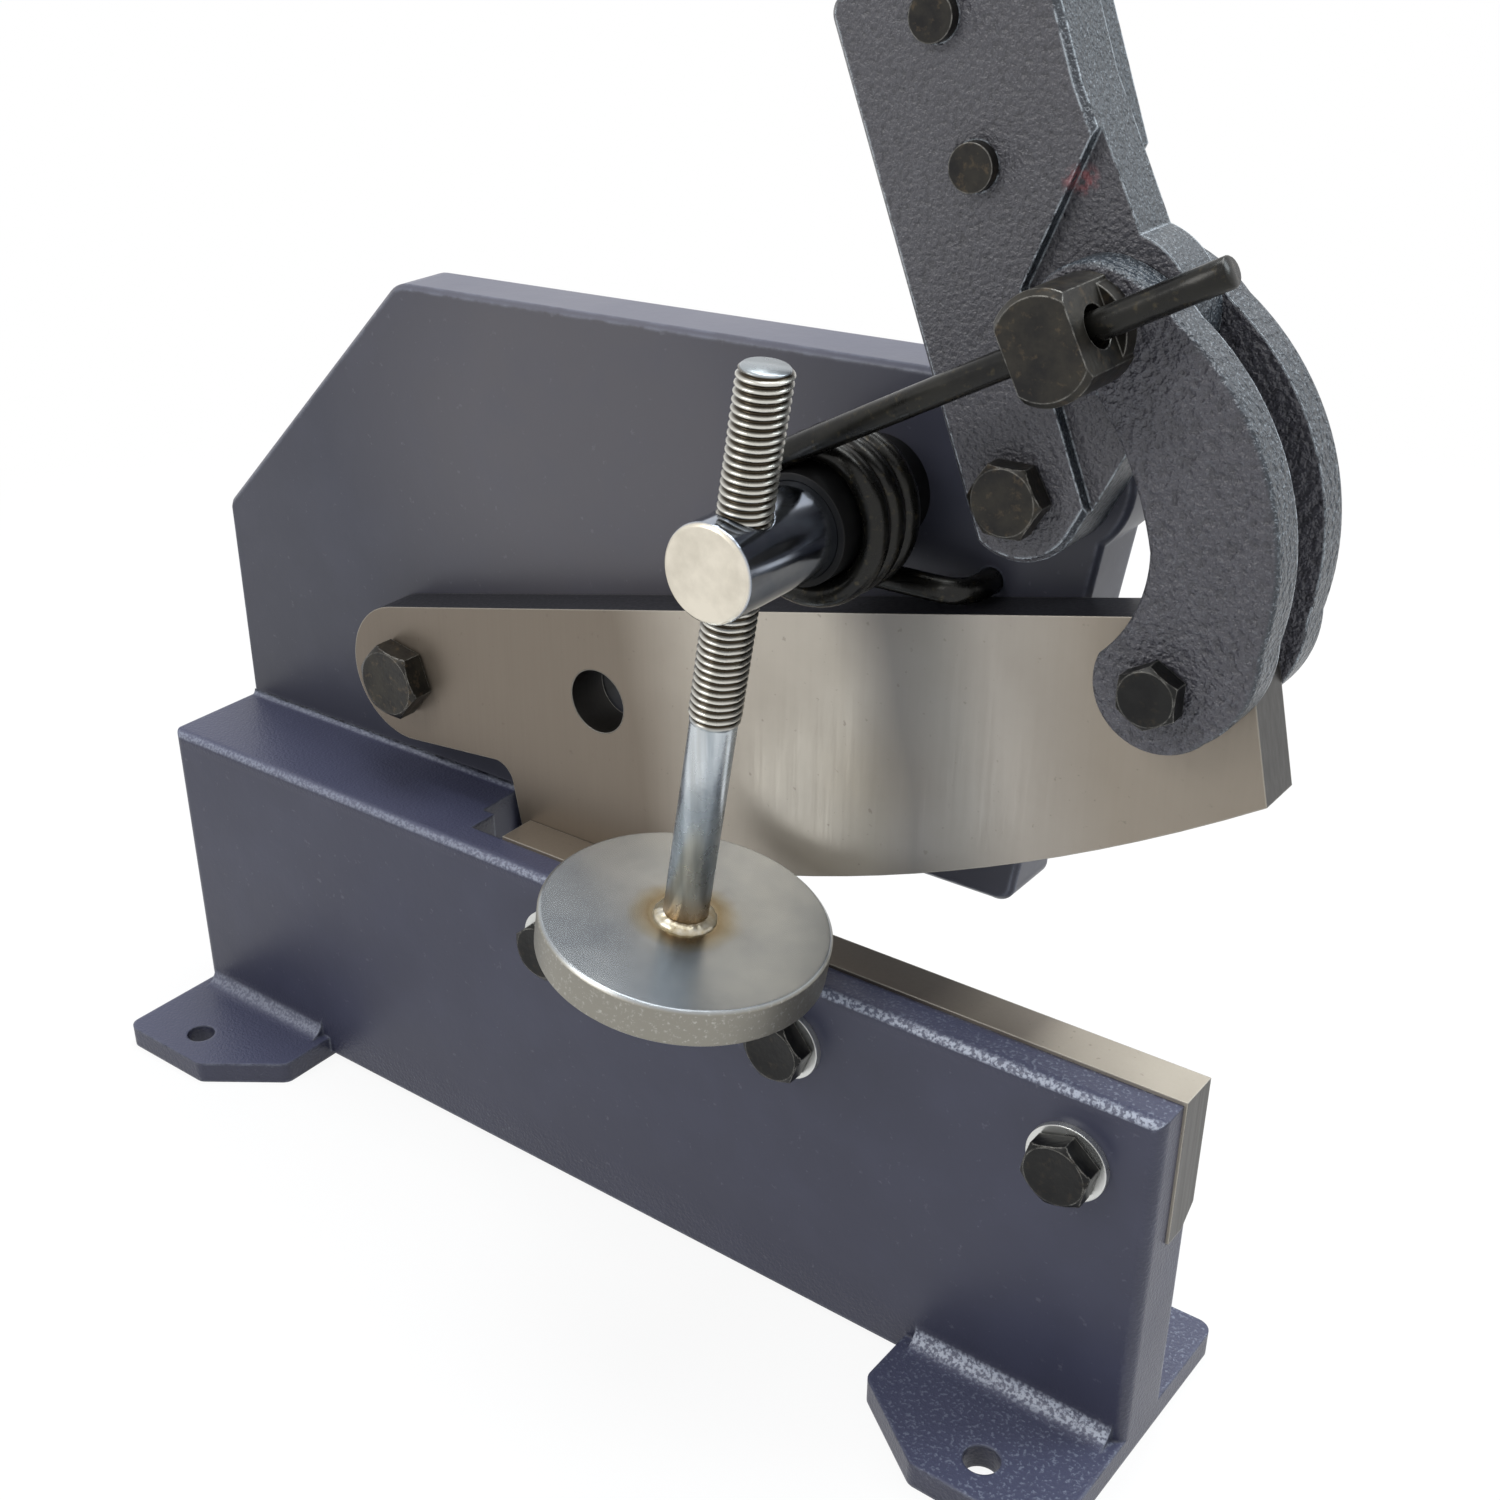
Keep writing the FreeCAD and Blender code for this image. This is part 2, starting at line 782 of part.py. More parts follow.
qx = v["link_pin_x"]
qz = v["link_pin_z"]
lean = v["lever_lean"]
lug_p = v["lever_lug"]
lug_q = v["lever_pin_lug"]
# Directions along the arm and across it to the right
along_x = -sin(lean)
along_z = cos(lean)
across_x = cos(lean)
across_z = sin(lean)


def on_arm(along, across):
    return (px + along * along_x + across * across_x,
            pz + along * along_z + across * across_z)


# The pin's place on the arm, and where its lug meets the arm's right edge
pin_along = (qz - pz) * along_z + (qx - px) * along_x
pin_across = (qz - pz) * across_z + (qx - px) * across_x
flared = v["lever_right"] + v["lever_flare"]
lug_meets = pin_along + sqrt(lug_q * lug_q - (flared - pin_across) * (flared - pin_across))
left_meets = -sqrt(lug_p * lug_p - v["lever_left"] * v["lever_left"])
side_x = cos(22)
side_z = sin(22)
lever_plate = upright("lever_plate", [
    on_arm(left_meets, -v["lever_left"]) + (lug_p,),
    (px, pz - lug_p, lug_p),
    (px + lug_p * side_x, pz - lug_p * side_z),
    (qx + lug_q * side_x, qz - lug_q * side_z, lug_q),
    on_arm(lug_meets, flared),
    on_arm(v["lever_flare_end"], v["lever_right"]),
    on_arm(v["lever_top"], v["lever_right"]),
    on_arm(v["lever_top"], -v["lever_left"]),
], [
    (px, pz, v["lever_bolt_shank"] + v["pivot_play"]),
    (qx, qz, v["pin_shank"] + v["pivot_play"]),
], lever_front, blade_back)
top_left = on_arm(v["lever_top"], -v["lever_left"])
soften(lever_plate, "Fillet", v["lever_top_round"], along_depth(top_left[0], top_left[1]))
top_right = on_arm(v["lever_top"], v["lever_right"])
soften(lever_plate, "Fillet", v["lever_top_round"], along_depth(top_right[0], top_right[1]))
soften(lever_plate, "Chamfer", v["lever_edge_round"],
       plate_rim(lever_front - blade_back))

# Shallow step that the front link lies in
apex_x = qx - v["step_reach"]
apex_z = qz + v["step_lift"]
step_cos = cos(v["step_angle"])
step_sin = sin(v["step_angle"])
step_far = qx + v["step_upper"]
lever_step = upright("lever_step", [
    (apex_x, apex_z),
    (apex_x + v["step_lower"] * step_cos, apex_z - v["step_lower"] * step_sin),
    (step_far, apex_z - v["step_lower"] * step_sin),
    (step_far, apex_z + v["step_upper"] * step_sin),
    (apex_x + v["step_upper"] * step_cos, apex_z + v["step_upper"] * step_sin),
], [], lever_front - 1, blade_front)
centre_line = v["bar_centre"]
bolt_low = on_arm(v["handle_bolt_low"], centre_line)
bolt_high = on_arm(v["handle_bolt_low"] + v["handle_bolt_pitch"], centre_line)
handle_hole = v["handle_bolt_shank"] + v["pivot_play"]
lever_holes = [
    rod_back("lever_bolt_hole%d" % n, spot[0], spot[1], 0, plate_back, handle_hole)
    for n, spot in enumerate((bolt_low, bolt_high))
]
keep("lever_casting", cut("lever", lever_plate, [lever_step] + lever_holes))

bolt("lever_pivot_bolt", px, pz, lever_front - v["plate_gap"], plate_back + v["nut_height"],
     v["lever_bolt_flats"], v["lever_bolt_head"], v["lever_bolt_shank"])
nut("lever_pivot_nut", px, pz, plate_back, v["lever_bolt_flats"] + v["nut_wider"],
    v["nut_height"], v["lever_bolt_shank"] + v["pivot_play"])

# Handle bar behind the casting, with two bolts and a grip at its end

half = v["bar_width"] / 2
half_end = v["bar_end_width"] / 2
start = v["bar_start"]
end = v["bar_start"] + v["bar_length"]
taper_start = v["bar_taper_start"]
taper_end = taper_start + v["bar_taper"]
corner = v["bar_corner"]
bar = upright("handle_bar_plate", [
    on_arm(start, centre_line - half),
    on_arm(start, centre_line + half - corner),
    on_arm(start + corner, centre_line + half),
    on_arm(taper_start, centre_line + half),
    on_arm(taper_end, centre_line + half_end),
    on_arm(end, centre_line + half_end),
    on_arm(end, centre_line - half_end),
    on_arm(taper_end, centre_line - half_end),
    on_arm(taper_start, centre_line - half),
], [
    bolt_low + (handle_hole,),
    bolt_high + (handle_hole,),
], blade_back, bar_back)
keep("handle_bar", bar)

grip_wall = v["grip_wall"]
grip_low = end - v["grip_length"]
grip_outer = upright("grip_outer", [
    on_arm(grip_low, centre_line - half_end - grip_wall),
    on_arm(grip_low, centre_line + half_end + grip_wall),
    on_arm(end + grip_wall, centre_line + half_end + grip_wall),
    on_arm(end + grip_wall, centre_line - half_end - grip_wall),
], [], blade_back - grip_wall, bar_back + grip_wall)
grip_corners = [
    on_arm(end + grip_wall, centre_line + half_end + grip_wall),
    on_arm(end + grip_wall, centre_line - half_end - grip_wall),
]
for spot in grip_corners:
    soften(grip_outer, "Fillet", v["grip_round"], along_depth(spot[0], spot[1]))
grip_depth = v["bar_thick"] + 2 * grip_wall


def grip_rim(edge):
    depths = [p.Point.y for p in edge.Vertexes]
    if len(depths) != 2:
        return False
    heights = [p.Point.z for p in edge.Vertexes]
    lowest = on_arm(grip_low, centre_line + half_end + grip_wall)[1].number
    on_face = all(near(y, 0) for y in depths) or all(near(y, -grip_depth.number) for y in depths)
    return on_face and max(heights) > lowest + 0.1


soften(grip_outer, "Fillet", v["grip_round"] - 1, grip_rim)
grip_inner = upright("grip_inner", [
    on_arm(grip_low - 1, centre_line - half_end),
    on_arm(grip_low - 1, centre_line + half_end),
    on_arm(end, centre_line + half_end),
    on_arm(end, centre_line - half_end),
], [], blade_back, bar_back)
keep("handle_grip", cut("grip", grip_outer, [grip_inner]))

for side, spot in (("lower", bolt_low), ("upper", bolt_high)):
    head = hexagon("handle_bolt_%s_head" % side, spot[0], spot[1], bar_back,
                   v["handle_bolt_head"], v["handle_bolt_flats"], BACKWARD)
    stem = rod_back("handle_bolt_%s_stem" % side, spot[0], spot[1],
                    lever_front - v["handle_bolt_proud"], bar_back + 1,
                    v["handle_bolt_shank"])
    keep("handle_bolt_" + side, joined("handle_bolt_" + side, [head, stem]))

# Links: two C-shaped arms from the link pin to the link bolt

bx = v["link_bolt_x"]
bz = v["link_bolt_z"]
top = v["link_top_lug"]
low_lug = v["link_low_lug"]
bore_q = v["pin_shank"] + v["pivot_play"]
bore_b = v["link_bolt_shank"] + v["pivot_play"]


def link(label, front, back, outer_depth):
    body = upright(label + "_plate", [
        (qx + top * cos(75), qz + top * sin(75), top),
        (qx - top, qz, top),
        (qx + top * cos(75), qz - top * sin(75), -v["link_bend_upper"]),
        (qx + v["link_waist_in"], qz - v["link_waist_drop"], -v["link_bend_lower"]),
        (bx - low_lug * cos(20), bz + low_lug * sin(20), low_lug),
        (bx, bz - low_lug, low_lug),
        (bx + low_lug * cos(40), bz - low_lug * sin(40), v["link_bend_foot"]),
        (qx + v["link_waist_out"], qz - v["link_belly_drop"], v["link_bend_belly"]),
        (qx + v["link_shoulder"], qz + v["link_shoulder_up"], v["link_bend_back"]),
    ], [(qx, qz, bore_q), (bx, bz, bore_b)], front, back)
    soften(body, "Fillet", v["link_edge_round"], plate_rim(outer_depth))
    return keep(label, body)


link("front_link", link_front_face, link_front_back, -v["link_thick"])
link("back_link", link_back_front, link_back_face, size(0))
bolt("link_bolt", bx, bz, link_front_face, link_back_face + v["nut_height"],
     v["link_bolt_flats"], v["link_bolt_head"], v["link_bolt_shank"])
nut("link_bolt_nut", bx, bz, link_back_face, v["link_bolt_flats"] + v["nut_wider"],
    v["nut_height"], bore_b)

# Spring: its long leg leaves the coil at a tangent and slides through the pin's head

reach = math.hypot((qx - sx).number, (qz - sz).number)
leg_angle = (math.degrees(math.atan2((qz - sz).number, (qx - sx).number))
             - math.degrees(math.asin(v["coil_radius"].number / reach)))
head_front = link_front_face - v["pin_head_length"]
head_back = link_front_face - 0.1
rod_y = head_front + v["pin_rod_depth"]

pin_head = rod_back("pin_head_round", qx, qz, head_front, head_back, v["pin_head"])
flats = doc.addObject("Part::Box", "pin_head_flats")
bind(flats, "Length", v["pin_flats"])
bind(flats, "Width", v["pin_head_length"] + 2)
bind(flats, "Height", v["pin_head"] * 2 + 2)
half_flat = v["pin_flats"] / 2
half_high = v["pin_head"] + 1
leg_cos = cos(leg_angle)
leg_sin = sin(leg_angle)
place(flats, qx - half_flat * leg_cos + half_high * leg_sin, head_front - 1,
      qz - half_flat * leg_sin - half_high * leg_cos,
      Rotation(Vector(0, 1, 0), -leg_angle))
squared = doc.addObject("Part::Common", "pin_head_squared")
squared.Base = pin_head
squared.Tool = flats
chamfer = v["pin_head_chamfer"]
turned = cone_back("pin_head_turned", qx, qz, head_front, head_back,
                   v["pin_head"] - chamfer,
                   v["pin_head"] - chamfer + (head_back - head_front))
chamfered = doc.addObject("Part::Common", "pin_head_chamfered")
chamfered.Base = squared
chamfered.Tool = turned
collar = rod_back("pin_collar", qx, qz, head_back - v["pin_collar"], head_back,
                  v["pin_head"] - 0.6)
shank = rod_back("pin_stem", qx, qz, head_back - 1, link_back_face + v["nut_height"],
                 v["pin_shank"])
cross = doc.addObject("Part::Cylinder", "pin_cross_hole")
bind(cross, "Radius", v["wire_radius"] + v["rod_play"])
bind(cross, "Height", v["pin_head"] * 4)
cross_reach = v["pin_head"] * 2
along_leg = Rotation(Vector(0, 1, 0), 90 - leg_angle)
place(cross, qx - cross_reach * leg_cos, rod_y, qz - cross_reach * leg_sin, along_leg)
pin_solid = joined("pin_solid", [chamfered, collar, shank])
keep("link_pin", cut("pin", pin_solid, [cross]))
nut("link_pin_nut", qx, qz, link_back_face + v["link_gap"],
    v["lever_bolt_flats"] + v["nut_wider"], v["nut_height"] - v["link_gap"], bore_q)

# Spring arm: the coil's front turn and the long leg, in one plane
coil_r = v["coil_radius"].number
wire_r = v["wire_radius"].number
centre = Vector((sx - origin_x).number, (rod_y - origin_y).number, sz.number)


def around(angle, radius):
    a = math.radians(angle)
    return Vector(radius * math.cos(a), 0, radius * math.sin(a))


tangent_angle = 90 + leg_angle
leg_length = math.sqrt(reach ** 2 - coil_r ** 2) + v["leg_past_pin"].number
leg_start = centre + around(tangent_angle, coil_r)
turn = Part.Arc(leg_start, centre + around(tangent_angle + 150, coil_r),
                centre + around(tangent_angle + 300, coil_r)).toShape()
section = Part.Wire([Part.Circle(leg_start, around(leg_angle, 1), wire_r).toShape()])
turn_pipe = Part.Wire([turn]).makePipeShell([section], True, False)
leg_rod = Part.makeCylinder(wire_r, leg_length, leg_start, around(leg_angle, 1))
arm = doc.addObject("Part::Feature", "spring_arm")
arm.Shape = turn_pipe.fuse(leg_rod)
keep("spring_arm", arm)

# Coil: its turns stay on the sleeve, and its tail is hooked into the upper frame
pitch = v["coil_pitch"].number
turns = v["coil_turns"].number
coil_front = (rod_y - origin_y).number + pitch
helix = Part.makeHelix(pitch, pitch * turns, coil_r)
lead = Vector(0, 2 * math.pi * coil_r, pitch).normalize()
profile = Part.Wire([Part.Circle(Vector(coil_r, 0, 0), lead, wire_r).toShape()])
coil_shape = Part.Wire(helix.Edges).makePipeShell([profile], True, True)
coil_shape.Placement = Placement(
    Vector(centre.x, coil_front, centre.z),
    Rotation(Vector(0, 1, 0), 90).multiply(Rotation(Vector(1, 0, 0), -90)))
coil_end = Vector(centre.x, coil_front + pitch * turns, centre.z - coil_r)
bend_r = v["tail_bend"].number
tail_run = Vector(v["tail_length"].number, 0, 0)
bend_start = coil_end + tail_run
bend_end = bend_start + Vector(bend_r, bend_r, 0)
bend_mid = bend_start + Vector(bend_r * math.sin(math.pi / 4),
                               bend_r * (1 - math.cos(math.pi / 4)), 0)
tail_tip = Vector(bend_end.x,
                  (plate_front + v["tail_into_plate"] - origin_y).number, bend_end.z)
tail_rod = Part.makeCylinder(wire_r, tail_run.Length, coil_end, Vector(1, 0, 0))
tail_arc = Part.Arc(bend_start, bend_mid, bend_end).toShape()
tail_ring = Part.Wire([Part.Circle(bend_start, Vector(1, 0, 0), wire_r).toShape()])
tail_bend = Part.Wire([tail_arc]).makePipeShell([tail_ring], True, False)
tail_end = Part.makeCylinder(wire_r, tail_tip.y - bend_end.y, bend_end, Vector(0, 1, 0))
coil = doc.addObject("Part::Feature", "spring_coil")
coil.Shape = coil_shape.fuse([tail_rod, tail_bend, tail_end])
keep("spring_coil", coil)

boss_round_r = v["boss_radius"]
sleeve_front = rod_y - v["wire_radius"]
sleeve = rod_back("sleeve_outer", sx, sz, sleeve_front, plate_front,
                  boss_round_r + v["pivot_play"] + v["sleeve_wall"])
sleeve_hole = rod_back("sleeve_hole", sx, sz, sleeve_front - 1, plate_front + 1,
                       boss_round_r + v["pivot_play"])
keep("spring_sleeve", cut("sleeve", sleeve, [sleeve_hole]))

# Hold-down: boss that swivels in the upper frame, screw spindle and disk

boss_y = -v["boss_front"]
boss_chamfer = v["boss_chamfer"]
end_gap = v["boss_end_gap"]
boss_face = cone_back("boss_face", sx, sz, boss_y, boss_y + boss_chamfer,
                      boss_round_r - boss_chamfer, boss_round_r)
boss_round = rod_back("boss_round", sx, sz, boss_y + boss_chamfer, plate_front - end_gap,
                      boss_round_r)
journal = rod_back("boss_journal", sx, sz, plate_front - end_gap,
                   plate_back + v["nut_height"] + end_gap, v["boss_journal"])
boss_solid = joined("boss_solid", [boss_face, boss_round, journal])
tilt = v["spindle_lean"]
upward = Rotation(Vector(0, 1, 0), tilt.number)
spindle_y = -v["spindle_front"]


def on_spindle(item, along):
    return place(item, sx + along * sin(tilt), spindle_y, sz + along * cos(tilt), upward)


def spindle_rod(name, low_end, high_end, radius):
    rod = doc.addObject("Part::Cylinder", name)
    bind(rod, "Radius", radius)
    bind(rod, "Height", size(high_end) - size(low_end))
    return on_spindle(rod, size(low_end))


boss_cross = spindle_rod("boss_cross_hole", -2 * boss_round_r, 2 * boss_round_r,
                         v["spindle_radius"] + v["pivot_play"])
keep("hold_down_boss", cut("boss", boss_solid, [boss_cross]))
nut("boss_nut", sx, sz, plate_back + end_gap, v["blade_bolt_flats"], v["nut_height"],
    v["boss_journal"] + v["pivot_play"])

below = -v["spindle_below"]
neck_top = below + v["spindle_neck_length"]
screw = spindle_rod("spindle_screw", neck_top, v["spindle_above"] - 1, v["spindle_radius"])
screw_end = doc.addObject("Part::Cone", "spindle_screw_end")
bind(screw_end, "Radius1", v["spindle_radius"])
bind(screw_end, "Radius2", v["spindle_radius"] - 1)
bind(screw_end, "Height", 1)
on_spindle(screw_end, v["spindle_above"] - 1)
spindle_neck = spindle_rod("spindle_neck", below, neck_top, v["spindle_neck"])
keep("hold_down_spindle", joined("hold_down_spindle", [screw, screw_end, spindle_neck]))

disk_edge = v["disk_edge"]
disk_low = below - v["disk_thick"]
disk_middle = spindle_rod("disk_middle", disk_low + disk_edge, below - disk_edge,
                          v["disk_radius"])
disk_rims = []
for name, base, low_radius, high_radius in (
        ("disk_rim_low", disk_low, v["disk_radius"] - disk_edge, v["disk_radius"]),
        ("disk_rim_high", below - disk_edge, v["disk_radius"], v["disk_radius"] - disk_edge)):
    rim = doc.addObject("Part::Cone", name)
    bind(rim, "Radius1", low_radius)
    bind(rim, "Radius2", high_radius)
    bind(rim, "Height", disk_edge)
    disk_rims.append(on_spindle(rim, base))
keep("hold_down_disk", joined("hold_down_disk", [disk_middle] + disk_rims))

weld_ring = doc.addObject("Part::Cone", "weld_ring")
bind(weld_ring, "Radius1", v["weld_radius"])
bind(weld_ring, "Radius2", v["spindle_neck"] + 0.2 * (v["weld_radius"] - v["spindle_neck"]))
bind(weld_ring, "Height", v["weld_height"])
on_spindle(weld_ring, below)
weld_hole = spindle_rod("weld_hole", below - 1, below + v["weld_height"] + 1,
                        v["spindle_neck"])
keep("hold_down_weld", cut("weld", weld_ring, [weld_hole]))

doc.recompute()

# Check every object, then write each kept piece

problems = []
for item in doc.Objects:
    if "Invalid" in item.State or "Error" in item.State:
        problems.append("%s: %s" % (item.Name, item.State))
for label, item in kept.items():
    shape = item.Shape
    if shape.isNull() or not shape.isValid():
        problems.append("%s: bad shape" % label)
if problems:
    raise RuntimeError("\n".join(problems))

os.makedirs("parts", exist_ok=True)
for label, item in kept.items():
    item.Shape.exportStep("parts/%s.step" % label)
    print(label, len(item.Shape.Solids), round(item.Shape.Volume))
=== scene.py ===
import json
import math

import bmesh
import bpy
from mathutils import Matrix, Vector


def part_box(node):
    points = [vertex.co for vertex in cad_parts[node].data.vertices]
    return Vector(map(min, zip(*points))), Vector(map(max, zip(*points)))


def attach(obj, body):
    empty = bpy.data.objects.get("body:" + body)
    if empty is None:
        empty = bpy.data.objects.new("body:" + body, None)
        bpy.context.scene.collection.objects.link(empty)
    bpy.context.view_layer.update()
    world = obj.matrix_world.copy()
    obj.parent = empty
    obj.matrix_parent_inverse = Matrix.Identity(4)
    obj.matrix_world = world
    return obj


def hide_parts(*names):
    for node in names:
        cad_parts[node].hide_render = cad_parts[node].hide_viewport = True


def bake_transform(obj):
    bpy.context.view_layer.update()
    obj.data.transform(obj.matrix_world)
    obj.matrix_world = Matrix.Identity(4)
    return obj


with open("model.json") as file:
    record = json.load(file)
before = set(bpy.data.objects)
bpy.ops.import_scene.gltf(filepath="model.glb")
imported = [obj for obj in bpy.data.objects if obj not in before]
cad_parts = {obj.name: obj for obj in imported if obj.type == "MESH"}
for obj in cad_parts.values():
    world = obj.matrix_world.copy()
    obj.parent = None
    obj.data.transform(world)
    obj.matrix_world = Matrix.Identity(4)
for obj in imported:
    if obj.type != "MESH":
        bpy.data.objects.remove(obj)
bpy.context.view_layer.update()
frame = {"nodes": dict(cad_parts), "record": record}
scene = bpy.context.scene

# Camera, where the photograph was taken from

AZIMUTH = math.radians(42.565)
ELEVATION = math.radians(28.081)
ROLL = math.radians(3.002)
CAMERA_PLACE = Vector((0.28705, -0.32437, 0.35289))
SENSOR_MM = 36.0
LENS_MM = 44.98
SHIFT = (0.1327, 0.0411)
NEAREST = 0.01


def add_camera():
    back = Vector((math.sin(AZIMUTH) * math.cos(ELEVATION),
                   -math.cos(AZIMUTH) * math.cos(ELEVATION),
                   math.sin(ELEVATION)))
    right = (-back).cross(Vector((0, 0, 1))).normalized()
    down = (-back).cross(right)
    x_axis = right * math.cos(ROLL) + down * math.sin(ROLL)
    y_axis = right * math.sin(ROLL) - down * math.cos(ROLL)
    data = bpy.data.cameras.new("camera")
    data.sensor_width = SENSOR_MM
    data.lens = LENS_MM
    data.shift_x, data.shift_y = SHIFT
    data.clip_start = NEAREST
    camera = bpy.data.objects.new("camera", data)
    turn = Matrix((x_axis, y_axis, back)).transposed()
    camera.matrix_world = Matrix.Translation(CAMERA_PLACE) @ turn.to_4x4()
    scene.collection.objects.link(camera)
    scene.camera = camera


add_camera()
scene.view_settings.view_transform = "Standard"

# Sizes shared with the solids. Lengths with MM are in metres, the others in millimetres

MM = 0.001
ORIGIN_X = 166.5
ORIGIN_Y = 6.0
COIL_X = 236.3
COIL_Z = 214.5
LINK_PIN_X = 293.2
LINK_PIN_Z = 262.0
BOSS_REACH = -20.5


def part_point(x, y, z):
    # From the bed's front left corner, in millimetres, to the part's frame in metres
    return Vector(((x - ORIGIN_X) * MM, (y - ORIGIN_Y) * MM, z * MM))


BAR_HOLE = (-6.3 * MM, 145.6 * MM, 8.8 * MM)
SPINDLE_LEAN = math.radians(9.4)
SPINDLE_AXIS = Vector((math.sin(SPINDLE_LEAN), 0.0, math.cos(SPINDLE_LEAN)))
SPINDLE_PLACE = part_point(COIL_X, BOSS_REACH, COIL_Z)
SPINDLE_LOW = -93.5 * MM
SPINDLE_HIGH = 41.7 * MM
THREAD_LOW = SPINDLE_LOW + 54.7 * MM
SPINDLE_TURN = Matrix.Translation(SPINDLE_PLACE) @ Matrix.Rotation(SPINDLE_LEAN, 4, "Y")

# Places on the part where a finish changes: from none of it to all of it, in metres

TOP_EDGE_Z = (0.0955, 0.0985)
ABOVE_BED_Z = (0.1035, 0.1025)
FEET_Z = (0.018, 0.010)
RIGHT_END_X = (0.1625, 0.1650)
BOSS_FACE_Y = (-0.0372, -0.0376)
DISK_RIM = (0.0343, 0.0349)
THREAD_FLANK = (0.0053, 0.00595)
HOLE_MARGIN = (0.0004, 0.0001)
LIGHTER_PATCH_PLACE = (-0.020, 0.215)
LIGHTER_PATCH_REACH = (0.100, 0.035)
RED_MARK = (0.1193, 0.2873)
RED_REACH = (0.0035, 0.0012)

# Material building

MIX_SOCKETS = (0, 6, 7)
MIX_RESULT = 2


class Tree:
    # Node tree with short calls for the nodes that this script makes

    def __init__(self, owner):
        owner.use_nodes = True
        self.tree = owner.node_tree
        self.tree.nodes.clear()

    def feed(self, socket, value):
        # An output is linked, and a plain number, vector or colour is set
        if hasattr(value, "is_linked"):
            self.tree.links.new(value, socket)
        elif socket.type == "RGBA":
            socket.default_value = tuple(value) + (1.0,)
        else:
            socket.default_value = value

    def node(self, kind, **inputs):
        # Node with its inputs given by name
        made = self.tree.nodes.new(kind)
        for name, value in inputs.items():
            self.feed(made.inputs[name], value)
        return made

    def ordered(self, kind, *values, **settings):
        # Node with its settings given by name, and its inputs in their order
        made = self.tree.nodes.new(kind)
        for name, value in settings.items():
            setattr(made, name, value)
        for socket, value in zip(made.inputs, values):
            self.feed(socket, value)
        return made

    def math(self, operation, a, b):
        return self.ordered("ShaderNodeMath", a, b, operation=operation).outputs[0]

    def times(self, a, b):
        return self.math("MULTIPLY", a, b)

    def vector(self, operation, *values):
        # Vector sum or product, or the number where the operation gives one
        made = self.ordered("ShaderNodeVectorMath", *values, operation=operation)
        number = operation in ("DOT_PRODUCT", "LENGTH")
        return made.outputs["Value" if number else "Vector"]

    def levels(self, factor, low, high, out_low=0.0, out_high=1.0):
        # What runs from low to high is spread from out_low to out_high, and held there
        made = self.ordered("ShaderNodeMapRange", factor, low, high, out_low, out_high)
        return made.outputs["Result"]

    def seen_rays(self):
        # 1 for the rays that show the white surroundings themselves
        path = self.node("ShaderNodeLightPath").outputs
        total = path["Is Camera Ray"]
        for kind in ("Is Glossy Ray", "Is Transmission Ray"):
            total = self.math("MAXIMUM", total, path[kind])
        return total

    def show(self, output, factor, first, second):
        # Two shaders mixed, as what is seen
        mixed = self.ordered("ShaderNodeMixShader", factor, first.outputs[0], second.outputs[0])
        self.feed(self.node(output).inputs[0], mixed.outputs[0])


